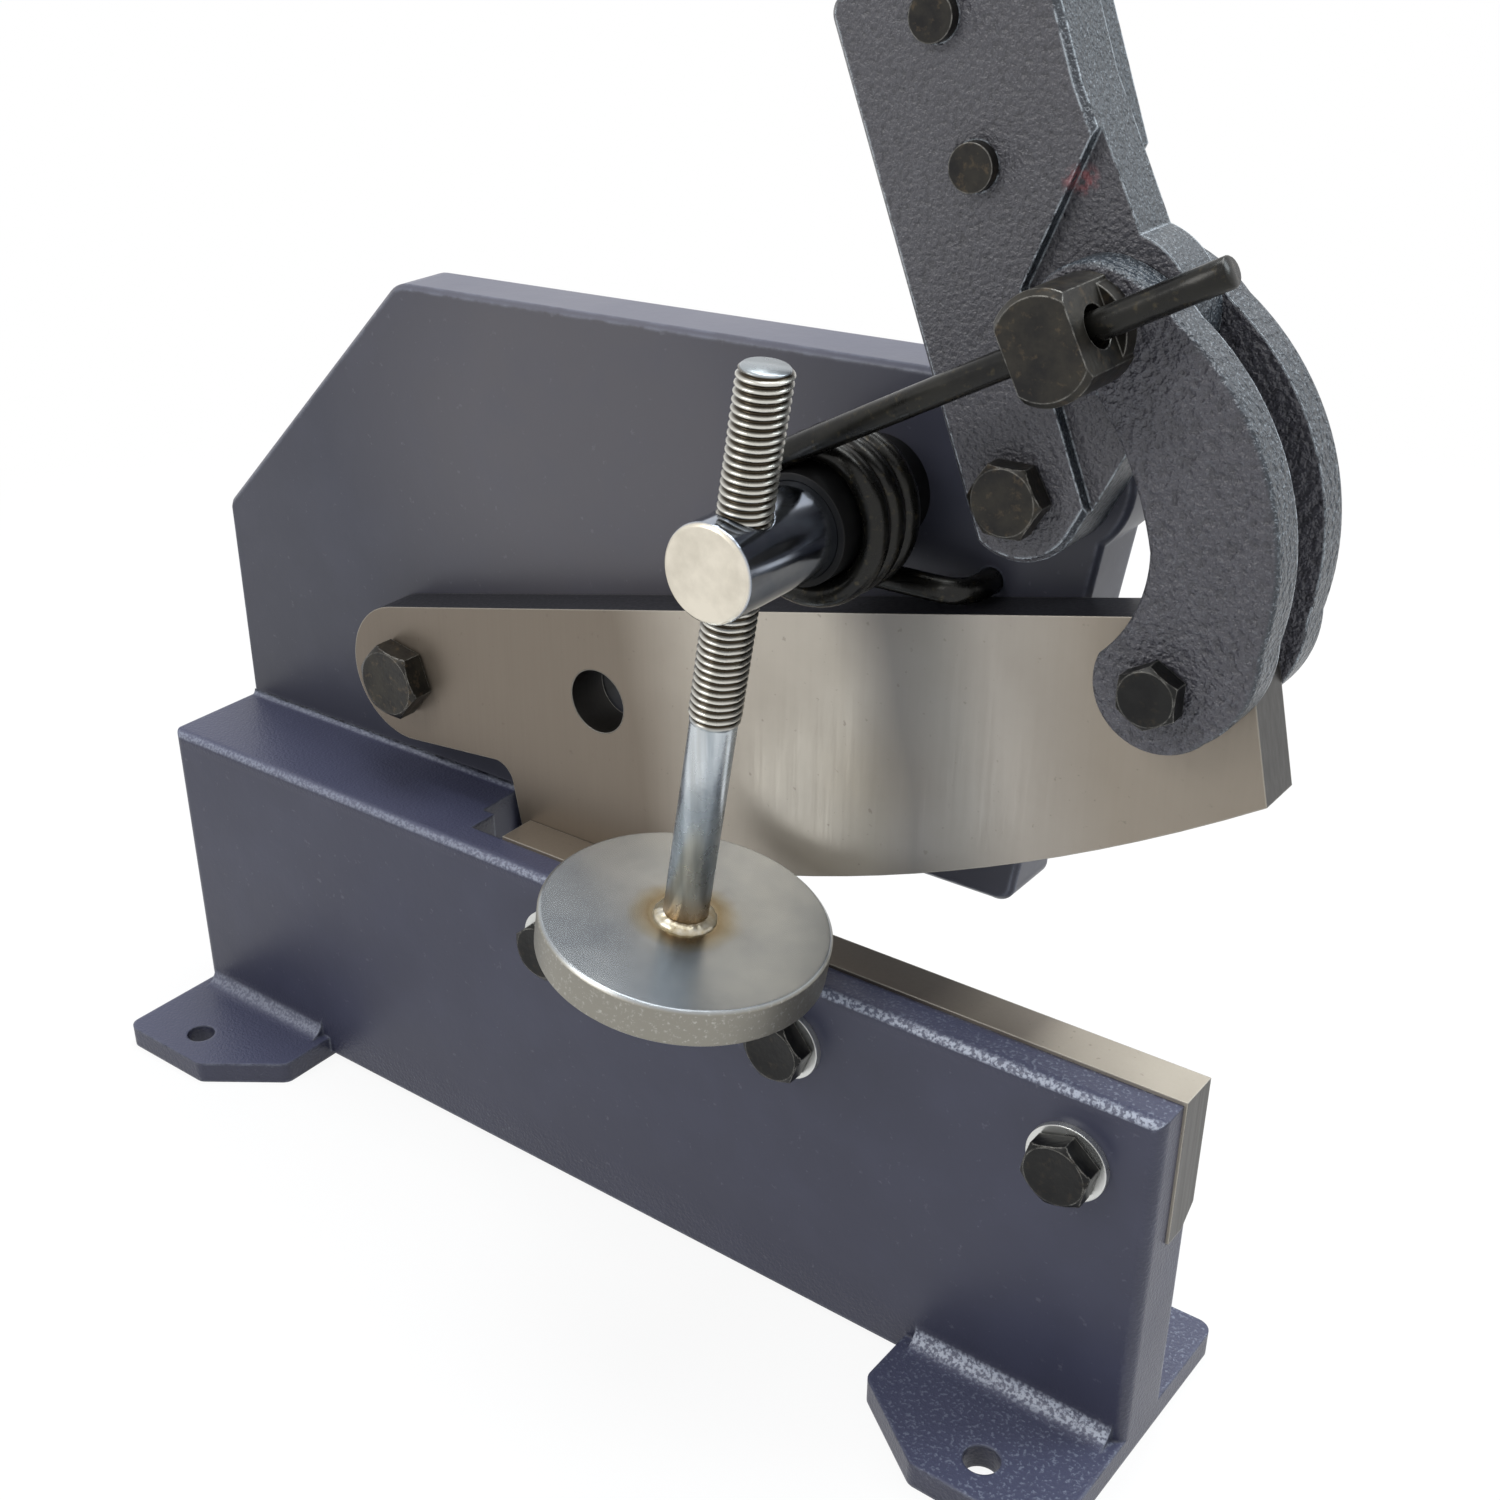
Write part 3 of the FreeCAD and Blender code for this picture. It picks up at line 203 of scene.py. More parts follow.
class Finish(Tree):
    # Material with one glossy shader, and the patterns that drive it.
    # Noise scales are in features to the metre, and all other lengths in metres

    def __init__(self, name):
        self.material = bpy.data.materials.new(name)
        super().__init__(self.material)
        self.shader = self.node("ShaderNodeBsdfPrincipled")
        output = self.node("ShaderNodeOutputMaterial")
        self.feed(output.inputs[0], self.shader.outputs[0])
        self.coords = self.node("ShaderNodeTexCoord").outputs
        self.place = self.coords["Object"]

    def stretched(self, scale):
        made = self.node("ShaderNodeMapping", Vector=self.place, Scale=scale)
        return made.outputs[0]

    def noise(self, scale, detail=2.0, rough=0.5, vector=None):
        made = self.node("ShaderNodeTexNoise", Scale=scale, Detail=detail, Roughness=rough,
                         Vector=self.place if vector is None else vector)
        return made.outputs["Fac"]

    def cells(self, scale):
        made = self.node("ShaderNodeTexVoronoi", Scale=scale, Vector=self.place)
        made.feature = "SMOOTH_F1"
        return made.outputs["Distance"]

    def ramp(self, factor, stops):
        made = self.tree.nodes.new("ShaderNodeValToRGB")
        elements = made.color_ramp.elements
        while len(elements) > 1:
            elements.remove(elements[-1])
        elements[0].position = stops[0][0]
        elements[0].color = tuple(stops[0][1]) + (1.0,)
        for place, color in stops[1:]:
            elements.new(place).color = tuple(color) + (1.0,)
        self.feed(made.inputs["Fac"], factor)
        return made.outputs["Color"]

    def soft(self, noise):
        # Noise spread over the whole range, for a mix of two tones
        return self.levels(noise, 0.35, 0.65)

    def gloss(self, noise, smooth, rough):
        # Roughness that follows a noise
        return self.levels(noise, 0.3, 0.7, smooth, rough)

    def wander(self, noise, reach):
        # Shift to either side, half the reach at most
        return self.times(self.math("SUBTRACT", noise, 0.5), reach)

    def mix(self, factor, a, b, blend="MIX"):
        made = self.tree.nodes.new("ShaderNodeMix")
        made.data_type = "RGBA"
        made.blend_type = blend
        for place, value in zip(MIX_SOCKETS, (factor, a, b)):
            self.feed(made.inputs[place], value)
        return made.outputs[MIX_RESULT]

    def layer(self, color, over, mask, amount):
        # Another tone over a colour, where the mask is and by that amount
        return self.mix(self.times(mask, amount), color, over)

    def split(self, vector, names):
        made = self.node("ShaderNodeSeparateXYZ", Vector=vector)
        return [made.outputs[name] for name in names]

    def axes(self, names):
        return self.split(self.place, names)

    def facing(self, names):
        # How far a surface faces along those axes, in the piece's own frame
        return self.split(self.coords["Normal"], names)

    def axis_distance(self, x, z):
        # Distance from a line that runs front to back
        squares = []
        for place, middle in zip(self.axes("XZ"), (x, z)):
            off = self.math("SUBTRACT", place, middle)
            squares.append(self.times(off, off))
        return self.ordered("ShaderNodeMath", self.math("ADD", *squares),
                            operation="SQRT").outputs[0]

    def near_axis(self, x, z, radius):
        # 1 within a hole that runs front to back, and on its wall
        outer, inner = HOLE_MARGIN
        return self.levels(self.axis_distance(x, z), radius + outer, radius + inner)

    def edges(self, radius, low=0.004, high=0.06):
        # 1 along sharp edges, 0 on open faces
        soft = self.node("ShaderNodeBevel", Radius=radius)
        soft.samples = 4
        hard = self.node("ShaderNodeNewGeometry").outputs["Normal"]
        same = self.vector("DOT_PRODUCT", soft.outputs[0], hard)
        return self.levels(self.math("SUBTRACT", 1.0, same), low, high)

    def bump(self, height, strength, distance, edge_radius=None):
        # Relief, over edges that are rounded where a radius is given
        made = self.node("ShaderNodeBump", Strength=strength, Distance=distance, Height=height)
        if edge_radius:
            rounded = self.node("ShaderNodeBevel", Radius=edge_radius)
            rounded.samples = 6
            self.feed(made.inputs["Normal"], rounded.outputs[0])
        return made.outputs[0]

    def finish(self, color, rough, metal, normal, specular=0.5):
        given = {"Base Color": color, "Roughness": rough, "Metallic": metal,
                 "Normal": normal, "Specular IOR Level": specular}
        for name, value in given.items():
            self.feed(self.shader.inputs[name], value)
        return self.material


def srgb(r, g, b):
    def one(c):
        c = c / 255.0
        return c / 12.92 if c <= 0.04045 else ((c + 0.055) / 1.055) ** 2.4
    return (one(r), one(g), one(b))


def shade(color, share):
    return tuple(share * c for c in color)


# Paint

PAINT_DUST = srgb(150, 152, 160)
PAINT_WORN = srgb(136, 141, 156)
PAINTED_GLINT_TONE = srgb(150, 158, 174)
PAINTED_BEND_SHEEN = srgb(112, 116, 134)
PAINTED_BEND_GLINT = srgb(176, 182, 196)
HOLE_SHADE_TONE = srgb(14, 14, 16)
PAINTED_SKY_REFLECTION = srgb(34, 44, 52)
BARE_EDGE_AND_GLINT = srgb(205, 214, 222)
BARE_HANDLE_AND_GLINT = srgb(180, 190, 200)
RED_TONE = srgb(168, 92, 96)


def frame_paint(name, dark, light, hole=None, lighter_patch=None):
    # Satin paint over a casting, coarser at its top edge, right end and feet. Top faces get
    # painted light from above, the coarse parts painted glints and sheen, and a hole painted
    # shade
    n = Finish(name)
    x, z = n.axes("XZ")
    top, = n.facing("Z")
    cloud = n.noise(7.0, 3.0)
    color = n.mix(cloud, dark, light)
    # Lighter tone round a point on the plate, with a wavy border
    if lighter_patch:
        away = n.math("ADD", n.axis_distance(*LIGHTER_PATCH_PLACE), n.wander(cloud, 0.04))
        color = n.mix(n.levels(away, *LIGHTER_PATCH_REACH), color, lighter_patch)
    color = n.mix(n.levels(n.noise(60.0, 3.0), 0.45, 0.75, 0.0, 0.22), color, shade(light, 1.4))
    dust = n.levels(n.noise(420.0, 3.0, 0.6), 0.66, 0.74)
    color = n.layer(color, PAINT_DUST, dust, 0.12)
    patch = n.levels(n.noise(190.0, 4.0, 0.65), 0.36, 0.60)
    color = n.layer(color, PAINT_WORN, n.times(n.edges(0.0013), patch), 0.55)
    # Near-black inside the bar hole: painted shade in the deep hole
    if hole:
        color = n.mix(n.near_axis(*hole), color, HOLE_SHADE_TONE)

    coarse = n.math("MAXIMUM", n.levels(z, *TOP_EDGE_Z), n.levels(z, *FEET_Z))
    coarse = n.math("MAXIMUM", coarse, n.levels(x, *RIGHT_END_X))
    coarse = n.times(coarse, n.levels(z, *ABOVE_BED_Z))
    grain = n.noise(1100.0, 2.0, 0.55)
    # Top faces lightened: painted light from above
    upward = n.levels(top, 0.4, 0.9)
    color = n.layer(color, shade(light, 1.85), upward, 0.62)
    # Pale specks on the coarse top faces: painted glints
    painted_glints = n.times(n.times(coarse, upward), n.levels(grain, 0.56, 0.66))
    painted_glints = n.times(painted_glints, n.levels(x, 0.02, 0.15, 0.0, 0.35))
    color = n.mix(painted_glints, color, PAINTED_GLINT_TONE)
    # Lighter bends with specks along them: painted sheen and glints where the slopes catch the
    # light
    bend = n.math("MINIMUM", n.levels(top, 0.25, 0.45), n.levels(top, 0.95, 0.80))
    bend = n.times(bend, coarse)
    color = n.layer(color, PAINTED_BEND_SHEEN, bend, 0.40)
    bend = n.times(bend, n.levels(grain, 0.42, 0.58))
    color = n.mix(n.times(bend, n.levels(x, -0.05, 0.10, 0.25, 0.80)), color, PAINTED_BEND_GLINT)

    relief = n.times(grain, n.levels(coarse, 0.0, 1.0, 0.10, 1.2))
    height = n.math("ADD", relief, n.times(n.noise(120.0), 0.5))
    normal = n.bump(height, 0.40, 0.0005, 0.0012)
    return n.finish(color, n.gloss(n.noise(25.0, 3.0), 0.33, 0.42), 0.0, normal, 0.4)


def rough_casting(name, dark, light, pale, grit_scale, depth, red=None):
    # Pebbled paint over a rough casting, worn to bright metal along its edges, with painted
    # shade in its pits, a painted sky reflection on its right and top faces, and painted glints
    n = Finish(name)
    color = n.mix(n.noise(16.0, 3.0), dark, light)
    pebbles = n.cells(grit_scale * 1.1)
    grit = n.math("SUBTRACT", n.noise(grit_scale, 2.0, 0.6), n.times(pebbles, 0.7))
    fine = n.noise(grit_scale * 2.7)
    # Darker pits in the pebbling: painted shade in the hollows
    color = n.layer(color, shade(dark, 0.45), n.levels(grit, 0.0, 0.20, 1.0, 0.0), 0.45)
    # Right and top faces tinted: painted reflection of a bluish sky
    side, top = n.facing("XZ")
    sky = n.math("MAXIMUM", n.levels(side, 0.25, 0.8), n.levels(top, 0.25, 0.8))
    color = n.layer(color, PAINTED_SKY_REFLECTION, sky, 0.80)
    # Pale specks on the lit faces: painted glints, in the same pale tone as the worn edges
    painted_specks = n.levels(fine, 0.58, 0.66)
    color = n.mix(n.times(painted_specks, n.levels(sky, 0.0, 1.0, 0.05, 0.24)), color, pale)
    patch = n.levels(n.noise(420.0, 4.0, 0.75), 0.40, 0.52)
    color = n.layer(color, pale, n.times(n.edges(0.0007, 0.015), patch), 0.80)
    if red:
        mark = n.times(n.levels(n.axis_distance(*red), *RED_REACH),
                       n.levels(n.noise(600.0, 3.0), 0.40, 0.60))
        color = n.layer(color, RED_TONE, mark, 0.55)
    height = n.math("ADD", grit, n.times(fine, 0.40))
    normal = n.bump(height, 1.0, depth, 0.0009)
    return n.finish(color, n.gloss(fine, 0.26, 0.38), 0.0, normal)


# Bare and plated metal

STEEL_STAIN = srgb(112, 102, 90)
STEEL_SPECK = srgb(92, 84, 74)
STEEL_EDGE = srgb(196, 192, 182)
STEEL_HOLE_SHADE = srgb(44, 41, 38)
OXIDE_BLOOM = srgb(104, 88, 66)
OXIDE_WORN = srgb(160, 158, 152)
WELD_STRAW = srgb(176, 140, 84)
SHANK_STREAK = srgb(150, 142, 124)
SPINDLE_TOP = srgb(160, 166, 170)
WIRE_BROWN = srgb(92, 82, 58)
HEAT_TINT = [
    (0.00, (0.9, 0.8, 0.6)), (0.24, (0.66, 0.50, 0.30)), (0.42, (0.82, 0.72, 0.56)),
    (0.66, (0.95, 0.94, 0.93)), (1.00, (1.0, 1.0, 1.0))]


def ground_steel(name, tones_and_reflections, end_shade_tone, top_tone=None):
    # Ground faces with soft light and dark bands along the blade, which are painted reflections
    # over the steel's tone, and painted shade on the right-facing square ends
    n = Finish(name)
    x, z = n.axes("XZ")
    place = n.math("ADD", x, n.wander(n.noise(11.0), 0.024))
    place = n.math("ADD", place, n.times(z, 0.16))
    color = n.ramp(n.levels(place, -0.10, 0.20), tones_and_reflections)
    color = n.layer(color, STEEL_STAIN, n.levels(n.noise(34.0, 4.0, 0.6), 0.35, 0.70), 0.18)
    scratch = n.noise(60.0, 4.0, 0.6, n.stretched((16.0, 16.0, 0.5)))
    color = n.layer(color, STEEL_SPECK, n.levels(n.noise(520.0), 0.68, 0.74), 0.35)
    side, top = n.facing("XZ")
    # Right-facing end faces darkened: painted shade
    color = n.layer(color, end_shade_tone, n.levels(side, 0.35, 0.75), 0.9)
    if top_tone:
        color = n.mix(n.levels(top, 0.35, 0.75), color, top_tone)
        # Darker inside the bar hole: painted shade in the deep hole
        color = n.mix(n.near_axis(*BAR_HOLE), color, STEEL_HOLE_SHADE)
    color = n.layer(color, STEEL_EDGE, n.edges(0.0005), 0.5)
    normal = n.bump(scratch, 0.12, 0.0003, 0.0004)
    return n.finish(color, n.gloss(scratch, 0.34, 0.46), 0.55, normal)


def black_oxide(name, dark, light, brown):
    # Dark oxide with a brown bloom on its faces and bright worn edges
    n = Finish(name)
    cloud = n.noise(150.0, 4.0, 0.6)
    color = n.mix(n.soft(cloud), dark, light)
    bloom = n.levels(n.noise(420.0, 4.0, 0.65), 0.56, 0.72)
    color = n.layer(color, OXIDE_BLOOM, bloom, brown)
    grain = n.noise(700.0, 3.0)
    worn = n.times(n.edges(0.00045), n.levels(grain, 0.30, 0.62))
    color = n.layer(color, OXIDE_WORN, worn, 0.75)
    normal = n.bump(grain, 0.30, 0.0003, 0.0004)
    return n.finish(color, n.gloss(cloud, 0.28, 0.44), 0.55, normal)


def zinc():
    # Bright zinc on the washers
    n = Finish("zinc_plate")
    cloud = n.noise(90.0, 3.0)
    color = n.mix(cloud, srgb(196, 198, 197), srgb(222, 222, 218))
    normal = n.bump(n.noise(800.0), 0.08, 0.0003, 0.0004)
    return n.finish(color, n.gloss(cloud, 0.22, 0.34), 0.9, normal)


def along_spindle(n):
    # Distance up the leaning spindle from the boss, and distance out from its axis
    off = n.vector("SUBTRACT", n.place, SPINDLE_PLACE)
    up = n.vector("DOT_PRODUCT", off, SPINDLE_AXIS)
    return up, n.vector("LENGTH", n.vector("CROSS_PRODUCT", off, SPINDLE_AXIS))


def turned_disk():
    # Turned and zinc plated, with a heat tint round the weld and a rougher rim
    n = Finish("turned_disk")
    out = along_spindle(n)[1]
    color = n.mix(n.soft(n.noise(40.0, 4.0, 0.55)), srgb(154, 159, 164), srgb(176, 180, 182))
    rim = n.levels(out, *DISK_RIM)
    speck = n.levels(n.noise(900.0, 3.0, 0.7), 0.56, 0.70)
    rim_color = n.mix(n.times(speck, 0.55), srgb(142, 139, 130), srgb(196, 194, 188))
    color = n.mix(rim, color, rim_color)
    heated = n.math("ADD", out, n.wander(n.noise(160.0), 0.004))
    tint = n.ramp(n.levels(heated, 0.006, 0.018), HEAT_TINT)
    color = n.mix(1.0, color, tint, "MULTIPLY")
    across = n.ordered("ShaderNodeCombineXYZ", n.times(out, 2600.0))
    rings = n.noise(1.0, vector=across.outputs[0])
    height = n.math("ADD", n.times(rings, n.levels(rim, 0.0, 1.0, 0.5, 0.0)),
                    n.times(n.noise(900.0), n.levels(rim, 0.0, 1.0, 0.15, 1.2)))
    normal = n.bump(height, 0.20, 0.0002, 0.0006)
    return n.finish(color, n.levels(rim, 0.0, 1.0, 0.24, 0.42), 0.9, normal)


def plated_screw():
    # Zinc plated screw: brownish painted shade in the thread grooves, a smooth bluish shank,
    # straw tint at the weld
    n = Finish("plated_screw")
    up, out = along_spindle(n)
    # Dark brown thread roots under bright crests: painted shade in the grooves
    thread = n.mix(n.levels(out, *THREAD_FLANK), srgb(58, 50, 38), srgb(206, 204, 196))
    drawn = n.noise(1.0, 3.0, vector=n.stretched((420.0, 420.0, 12.0)))
    shank = n.mix(n.soft(drawn), srgb(166, 174, 180), srgb(202, 208, 212))
    streak = n.noise(1.0, 3.0, vector=n.stretched((260.0, 260.0, 16.0)))
    shank = n.layer(shank, SHANK_STREAK, n.levels(streak, 0.5, 0.7), 0.30)
    color = n.mix(n.levels(up, THREAD_LOW - 0.5 * MM, THREAD_LOW + 0.5 * MM), shank, thread)
    end = n.levels(up, SPINDLE_HIGH - 0.6 * MM, SPINDLE_HIGH - 0.3 * MM)
    color = n.mix(end, color, SPINDLE_TOP)
    heat = n.levels(up, SPINDLE_LOW + 2.0 * MM, SPINDLE_LOW + 10.0 * MM, 0.8, 0.0)
    color = n.mix(heat, color, WELD_STRAW)
    normal = n.bump(n.noise(900.0), 0.10, 0.0002)
    return n.finish(color, n.gloss(n.noise(180.0, 3.0), 0.22, 0.34), 0.85, normal)


def weld_metal():
    # Weld bead, dulled and slightly yellow
    n = Finish("weld_metal")
    cloud = n.noise(420.0, 4.0, 0.6)
    color = n.mix(n.soft(cloud), srgb(176, 162, 130), srgb(206, 202, 190))
    normal = n.bump(cloud, 0.25, 0.0003)
    return n.finish(color, n.gloss(cloud, 0.25, 0.40), 0.85, normal)


def chrome():
    # Polished cylinder with a satin, slightly stained face
    n = Finish("chrome_plate")
    y, = n.axes("Y")
    cloud = n.noise(120.0, 4.0, 0.6)
    face = n.levels(y, *BOSS_FACE_Y)
    body = n.mix(n.soft(cloud), srgb(150, 158, 172), srgb(170, 176, 186))
    front = n.mix(n.levels(cloud, 0.40, 0.62), srgb(212, 205, 190), srgb(228, 221, 206))
    color = n.mix(face, body, front)
    normal = n.bump(n.noise(500.0), 0.03, 0.0002, 0.0007)
    rough = n.math("ADD", n.gloss(cloud, 0.10, 0.17), n.times(face, 0.22))
    return n.finish(color, rough, 1.0, normal)


def spring_steel():
    # Oiled dark wire with a little brown where it rubs
    n = Finish("spring_steel")
    cloud = n.noise(110.0, 4.0, 0.6)
    color = n.mix(n.soft(cloud), srgb(15, 15, 15), srgb(30, 29, 25))
    rub = n.levels(n.noise(520.0, 4.0, 0.6), 0.58, 0.70)
    color = n.layer(color, WIRE_BROWN, rub, 0.28)
    normal = n.bump(n.noise(520.0, 3.0), 0.22, 0.0003)
    return n.finish(color, n.gloss(cloud, 0.20, 0.34), 0.6, normal, 0.6)


# Sleeve and grip

def black_sleeve_shade():
    # Matt black sleeve, darkened to near-black as painted shade for the shadowed gap round the
    # boss
    n = Finish("black_sleeve_shade")
    color = n.mix(n.noise(80.0, 3.0), srgb(6, 6, 7), srgb(12, 12, 13))
    normal = n.bump(n.noise(500.0), 0.05, 0.0003, 0.0004)
    return n.finish(color, n.gloss(n.noise(200.0), 0.50, 0.60), 0.0, normal, 0.3)


def grip_rubber():
    # Dark rubber with a fine pebbled grain
    n = Finish("grip_rubber")
    color = n.mix(n.noise(60.0, 3.0), srgb(26, 26, 28), srgb(36, 36, 38))
    normal = n.bump(n.cells(700.0), 0.15, 0.0004, 0.0010)
    return n.finish(color, n.gloss(n.noise(90.0), 0.55, 0.68), 0.0, normal)


# Finish of each solid. The rest are small and black, or replaced by a piece below

# Steel tone along each blade, with light and dark bands that are painted reflections
UPPER_TONES_AND_REFLECTIONS = [
    (0.00, srgb(112, 102, 91)), (0.42, srgb(118, 108, 96)), (0.51, srgb(180, 172, 160)),
    (0.65, srgb(178, 171, 160)), (0.70, srgb(128, 125, 122)), (0.74, srgb(138, 135, 130)),
    (0.79, srgb(164, 158, 150)), (0.87, srgb(144, 135, 123)), (1.00, srgb(134, 125, 113))]
LOWER_TONES_AND_REFLECTIONS = [
    (0.00, srgb(120, 110, 98)), (0.45, srgb(128, 118, 106)), (0.58, srgb(92, 85, 78)),
    (0.72, srgb(82, 76, 71)), (0.76, srgb(128, 120, 110)), (0.80, srgb(120, 112, 103)),
    (0.83, srgb(158, 150, 138)), (0.92, srgb(178, 170, 157)), (1.00, srgb(172, 164, 152))]

link_iron = rough_casting("link_iron", srgb(62, 61, 67), srgb(74, 73, 80), BARE_EDGE_AND_GLINT,
                          620.0, 0.00105)
washers = zinc()
black = black_oxide("black_oxide", srgb(24, 23, 23), srgb(47, 44, 38), 0.38)
bolt_black = black_oxide("bolt_black", srgb(10, 10, 11), srgb(24, 24, 23), 0.12)

FINISHES = {
    "bed_casting": frame_paint("frame_paint", srgb(46, 47, 64), srgb(54, 56, 74)),
    "upper_frame": frame_paint("plate_paint", srgb(52, 53, 64), srgb(60, 61, 73), BAR_HOLE,
                               srgb(80, 78, 84)),
    "lever_casting": rough_casting("lever_iron", srgb(66, 65, 70), srgb(77, 76, 82), BARE_EDGE_AND_GLINT,
                                   850.0, 0.00056, RED_MARK),
    "front_link": link_iron,
    "back_link": link_iron,
    "handle_bar": rough_casting("handle_paint", srgb(54, 60, 68), srgb(64, 69, 77), BARE_HANDLE_AND_GLINT,
                                760.0, 0.00050),
    "upper_blade": ground_steel("upper_steel", UPPER_TONES_AND_REFLECTIONS, srgb(48, 48, 49), srgb(52, 52, 57)),
    "lower_blade": ground_steel("lower_steel", LOWER_TONES_AND_REFLECTIONS, srgb(26, 26, 27)),
    "handle_grip": grip_rubber(),
    "hold_down_boss": chrome(),
    "hold_down_disk": turned_disk(),
    "spring_sleeve": black_sleeve_shade(),
    "bed_washer_left": washers,
    "bed_washer_middle": washers,
    "bed_washer_right": washers,
}
for name, solid in frame["nodes"].items():
    solid.data.materials.clear()
    solid.data.materials.append(FINISHES.get(name, black))


# Pieces

def make_piece(name, mesh, body, slot, material, *replaced):
    # A piece without a body is left unattached, for the caller
    piece = bpy.data.objects.new(name, mesh)
    scene.collection.objects.link(piece)
    mesh.materials.append(material)
    for polygon in mesh.polygons:
        polygon.use_smooth = True
    if body:
        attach(piece, body)
    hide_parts(*replaced)
    return piece


MERGE_DISTANCE = 1e-6


def skin_rings(name, rings, closed_ends=True, merged=False):
    # Mesh from rings of points, joined ring to ring, with flat ends and no doubled points
    count = len(rings[0])
    points = [tuple(p) for ring in rings for p in ring]
    faces = []
    for r in range(len(rings) - 1):
        for i in range(count):
            j = (i + 1) % count
            faces.append((r * count + i, r * count + j, (r + 1) * count + j,
                          (r + 1) * count + i))
    if closed_ends:
        faces.append(tuple(reversed(range(count))))
        faces.append(tuple((len(rings) - 1) * count + i for i in range(count)))
    mesh = bpy.data.meshes.new(name)
    mesh.from_pydata(points, [], faces)
    work = bmesh.new()
    work.from_mesh(mesh)
    if merged:
        bmesh.ops.remove_doubles(work, verts=work.verts, dist=MERGE_DISTANCE)
    bmesh.ops.recalc_face_normals(work, faces=work.faces)
    work.to_mesh(mesh)
    work.free()
    return mesh


def on_spindle(radius, angle, height):
    # From the leaning spindle's own axis to the part's frame
    return SPINDLE_TURN @ Vector((radius * math.cos(angle), radius * math.sin(angle), height))


def threaded_spindle():
    # Rolled metric thread that runs out into a smooth shank
    pitch = 1.75 * MM
    crest = 6.0 * MM
    root = 5.1 * MM
    shank = 5.4 * MM
    end_radius = 4.9 * MM
    run_out = 1.0 * MM
    plain_below = 1.2 * MM
    end_gap = 0.05 * MM
    flat_share = 0.14
    flank_share = 0.68
    around = 40
    step = pitch / 8
    heights = [SPINDLE_LOW + end_gap, THREAD_LOW - plain_below]
    z = THREAD_LOW - run_out
    while z < SPINDLE_HIGH:
        heights.append(z)
        z += step
    heights.append(SPINDLE_HIGH)
    rings = []
    for z in heights:
        ring = []
        for i in range(around):
            turn = i / around
            phase = (z / pitch - turn) % 1.0
            flank = abs(phase - 0.5) * 2.0
            tooth = min(1.0, max(0.0, (flank - flat_share) / flank_share))
            radius = root + (crest - root) * tooth
            grown = min(1.0, max(0.0, (z - THREAD_LOW + run_out) / (2 * run_out)))
            radius = shank + (radius - shank) * grown
            radius = min(radius, end_radius + (SPINDLE_HIGH - z))
            ring.append(on_spindle(radius, 2 * math.pi * turn, z))
        rings.append(ring)
    return skin_rings("threaded_spindle", rings)


def weld_bead():
    # Small welded ring with ripples: each step of its outline gives distance out and height
    inner = 5.42
    profile = [(8.0, 0.0), (7.9, 0.5), (7.45, 1.1), (6.8, 1.6), (6.1, 1.95), (inner, 2.15)]
    highest = 2.2
    ripples = 17
    swells = 5
    ripple = 0.03
    height_share = 0.80
    width_share = 0.86
    around = 72
    rings = []
    for out, up in profile:
        ring = []
        for i in range(around):
            angle = 2 * math.pi * i / around
            lift = (height_share + ripple * math.sin(ripples * angle)
                    + ripple * math.sin(swells * angle + 1.0))
            spread = width_share + ripple * math.sin(ripples * angle + 0.6)
            radius = inner + (out - inner) * spread
            height = SPINDLE_LOW + min(highest, up * lift) * MM
            ring.append(on_spindle(radius * MM, angle, height))
        rings.append(ring)
    return skin_rings("weld_bead", rings, False)


# The spring, in millimetres, as on the solids

WIRE_RADIUS = 3.0
COIL_RADIUS = 16.0
COIL_FRONT = 2.9
COIL_BACK = 23.375
COIL_TURNS = 3
LEG_PAST_PIN = 34.4
TAIL_LENGTH = 23.0
TAIL_BEND = 6.0
TAIL_END_Y = 42.0
LEG_STEPS = 12
COIL_STEPS = 180
TAIL_STEPS = 4
BEND_STEPS = 12


def spring_path():
    # Long leg through the pin, close turns, tail hooked into the frame
    centre = Vector((COIL_X, 0.0, COIL_Z))
    pin = Vector((LINK_PIN_X, 0.0, LINK_PIN_Z))
    reach = (pin - centre).length
    leg_angle = math.atan2(pin.z - centre.z, pin.x - centre.x) - math.asin(COIL_RADIUS / reach)
    leg = Vector((math.cos(leg_angle), 0, math.sin(leg_angle)))
    leg_length = math.sqrt(reach ** 2 - COIL_RADIUS ** 2) + LEG_PAST_PIN
    first = leg_angle + math.pi / 2
    last = math.radians(270 + COIL_TURNS * 360)

    def on_coil(share):
        angle = first + (last - first) * share
        depth = COIL_FRONT + (COIL_BACK - COIL_FRONT) * share
        return centre + Vector((COIL_RADIUS * math.cos(angle), depth,
                                COIL_RADIUS * math.sin(angle)))

    path = []
    for step in range(LEG_STEPS + 1):
        path.append(on_coil(0.0) + leg * leg_length * (1 - step / LEG_STEPS))
    for step in range(1, COIL_STEPS + 1):
        path.append(on_coil(step / COIL_STEPS))
    tail_end = path[-1] + Vector((TAIL_LENGTH, 0, 0))
    for step in range(TAIL_STEPS):
        path.append(path[-1] + Vector((TAIL_LENGTH / TAIL_STEPS, 0, 0)))
    for step in range(1, BEND_STEPS + 1):
        angle = math.pi / 2 * step / BEND_STEPS
        path.append(tail_end + Vector((TAIL_BEND * math.sin(angle),
                                       TAIL_BEND * (1 - math.cos(angle)), 0)))
    path.append(Vector((path[-1].x, TAIL_END_Y, path[-1].z)))
    return path


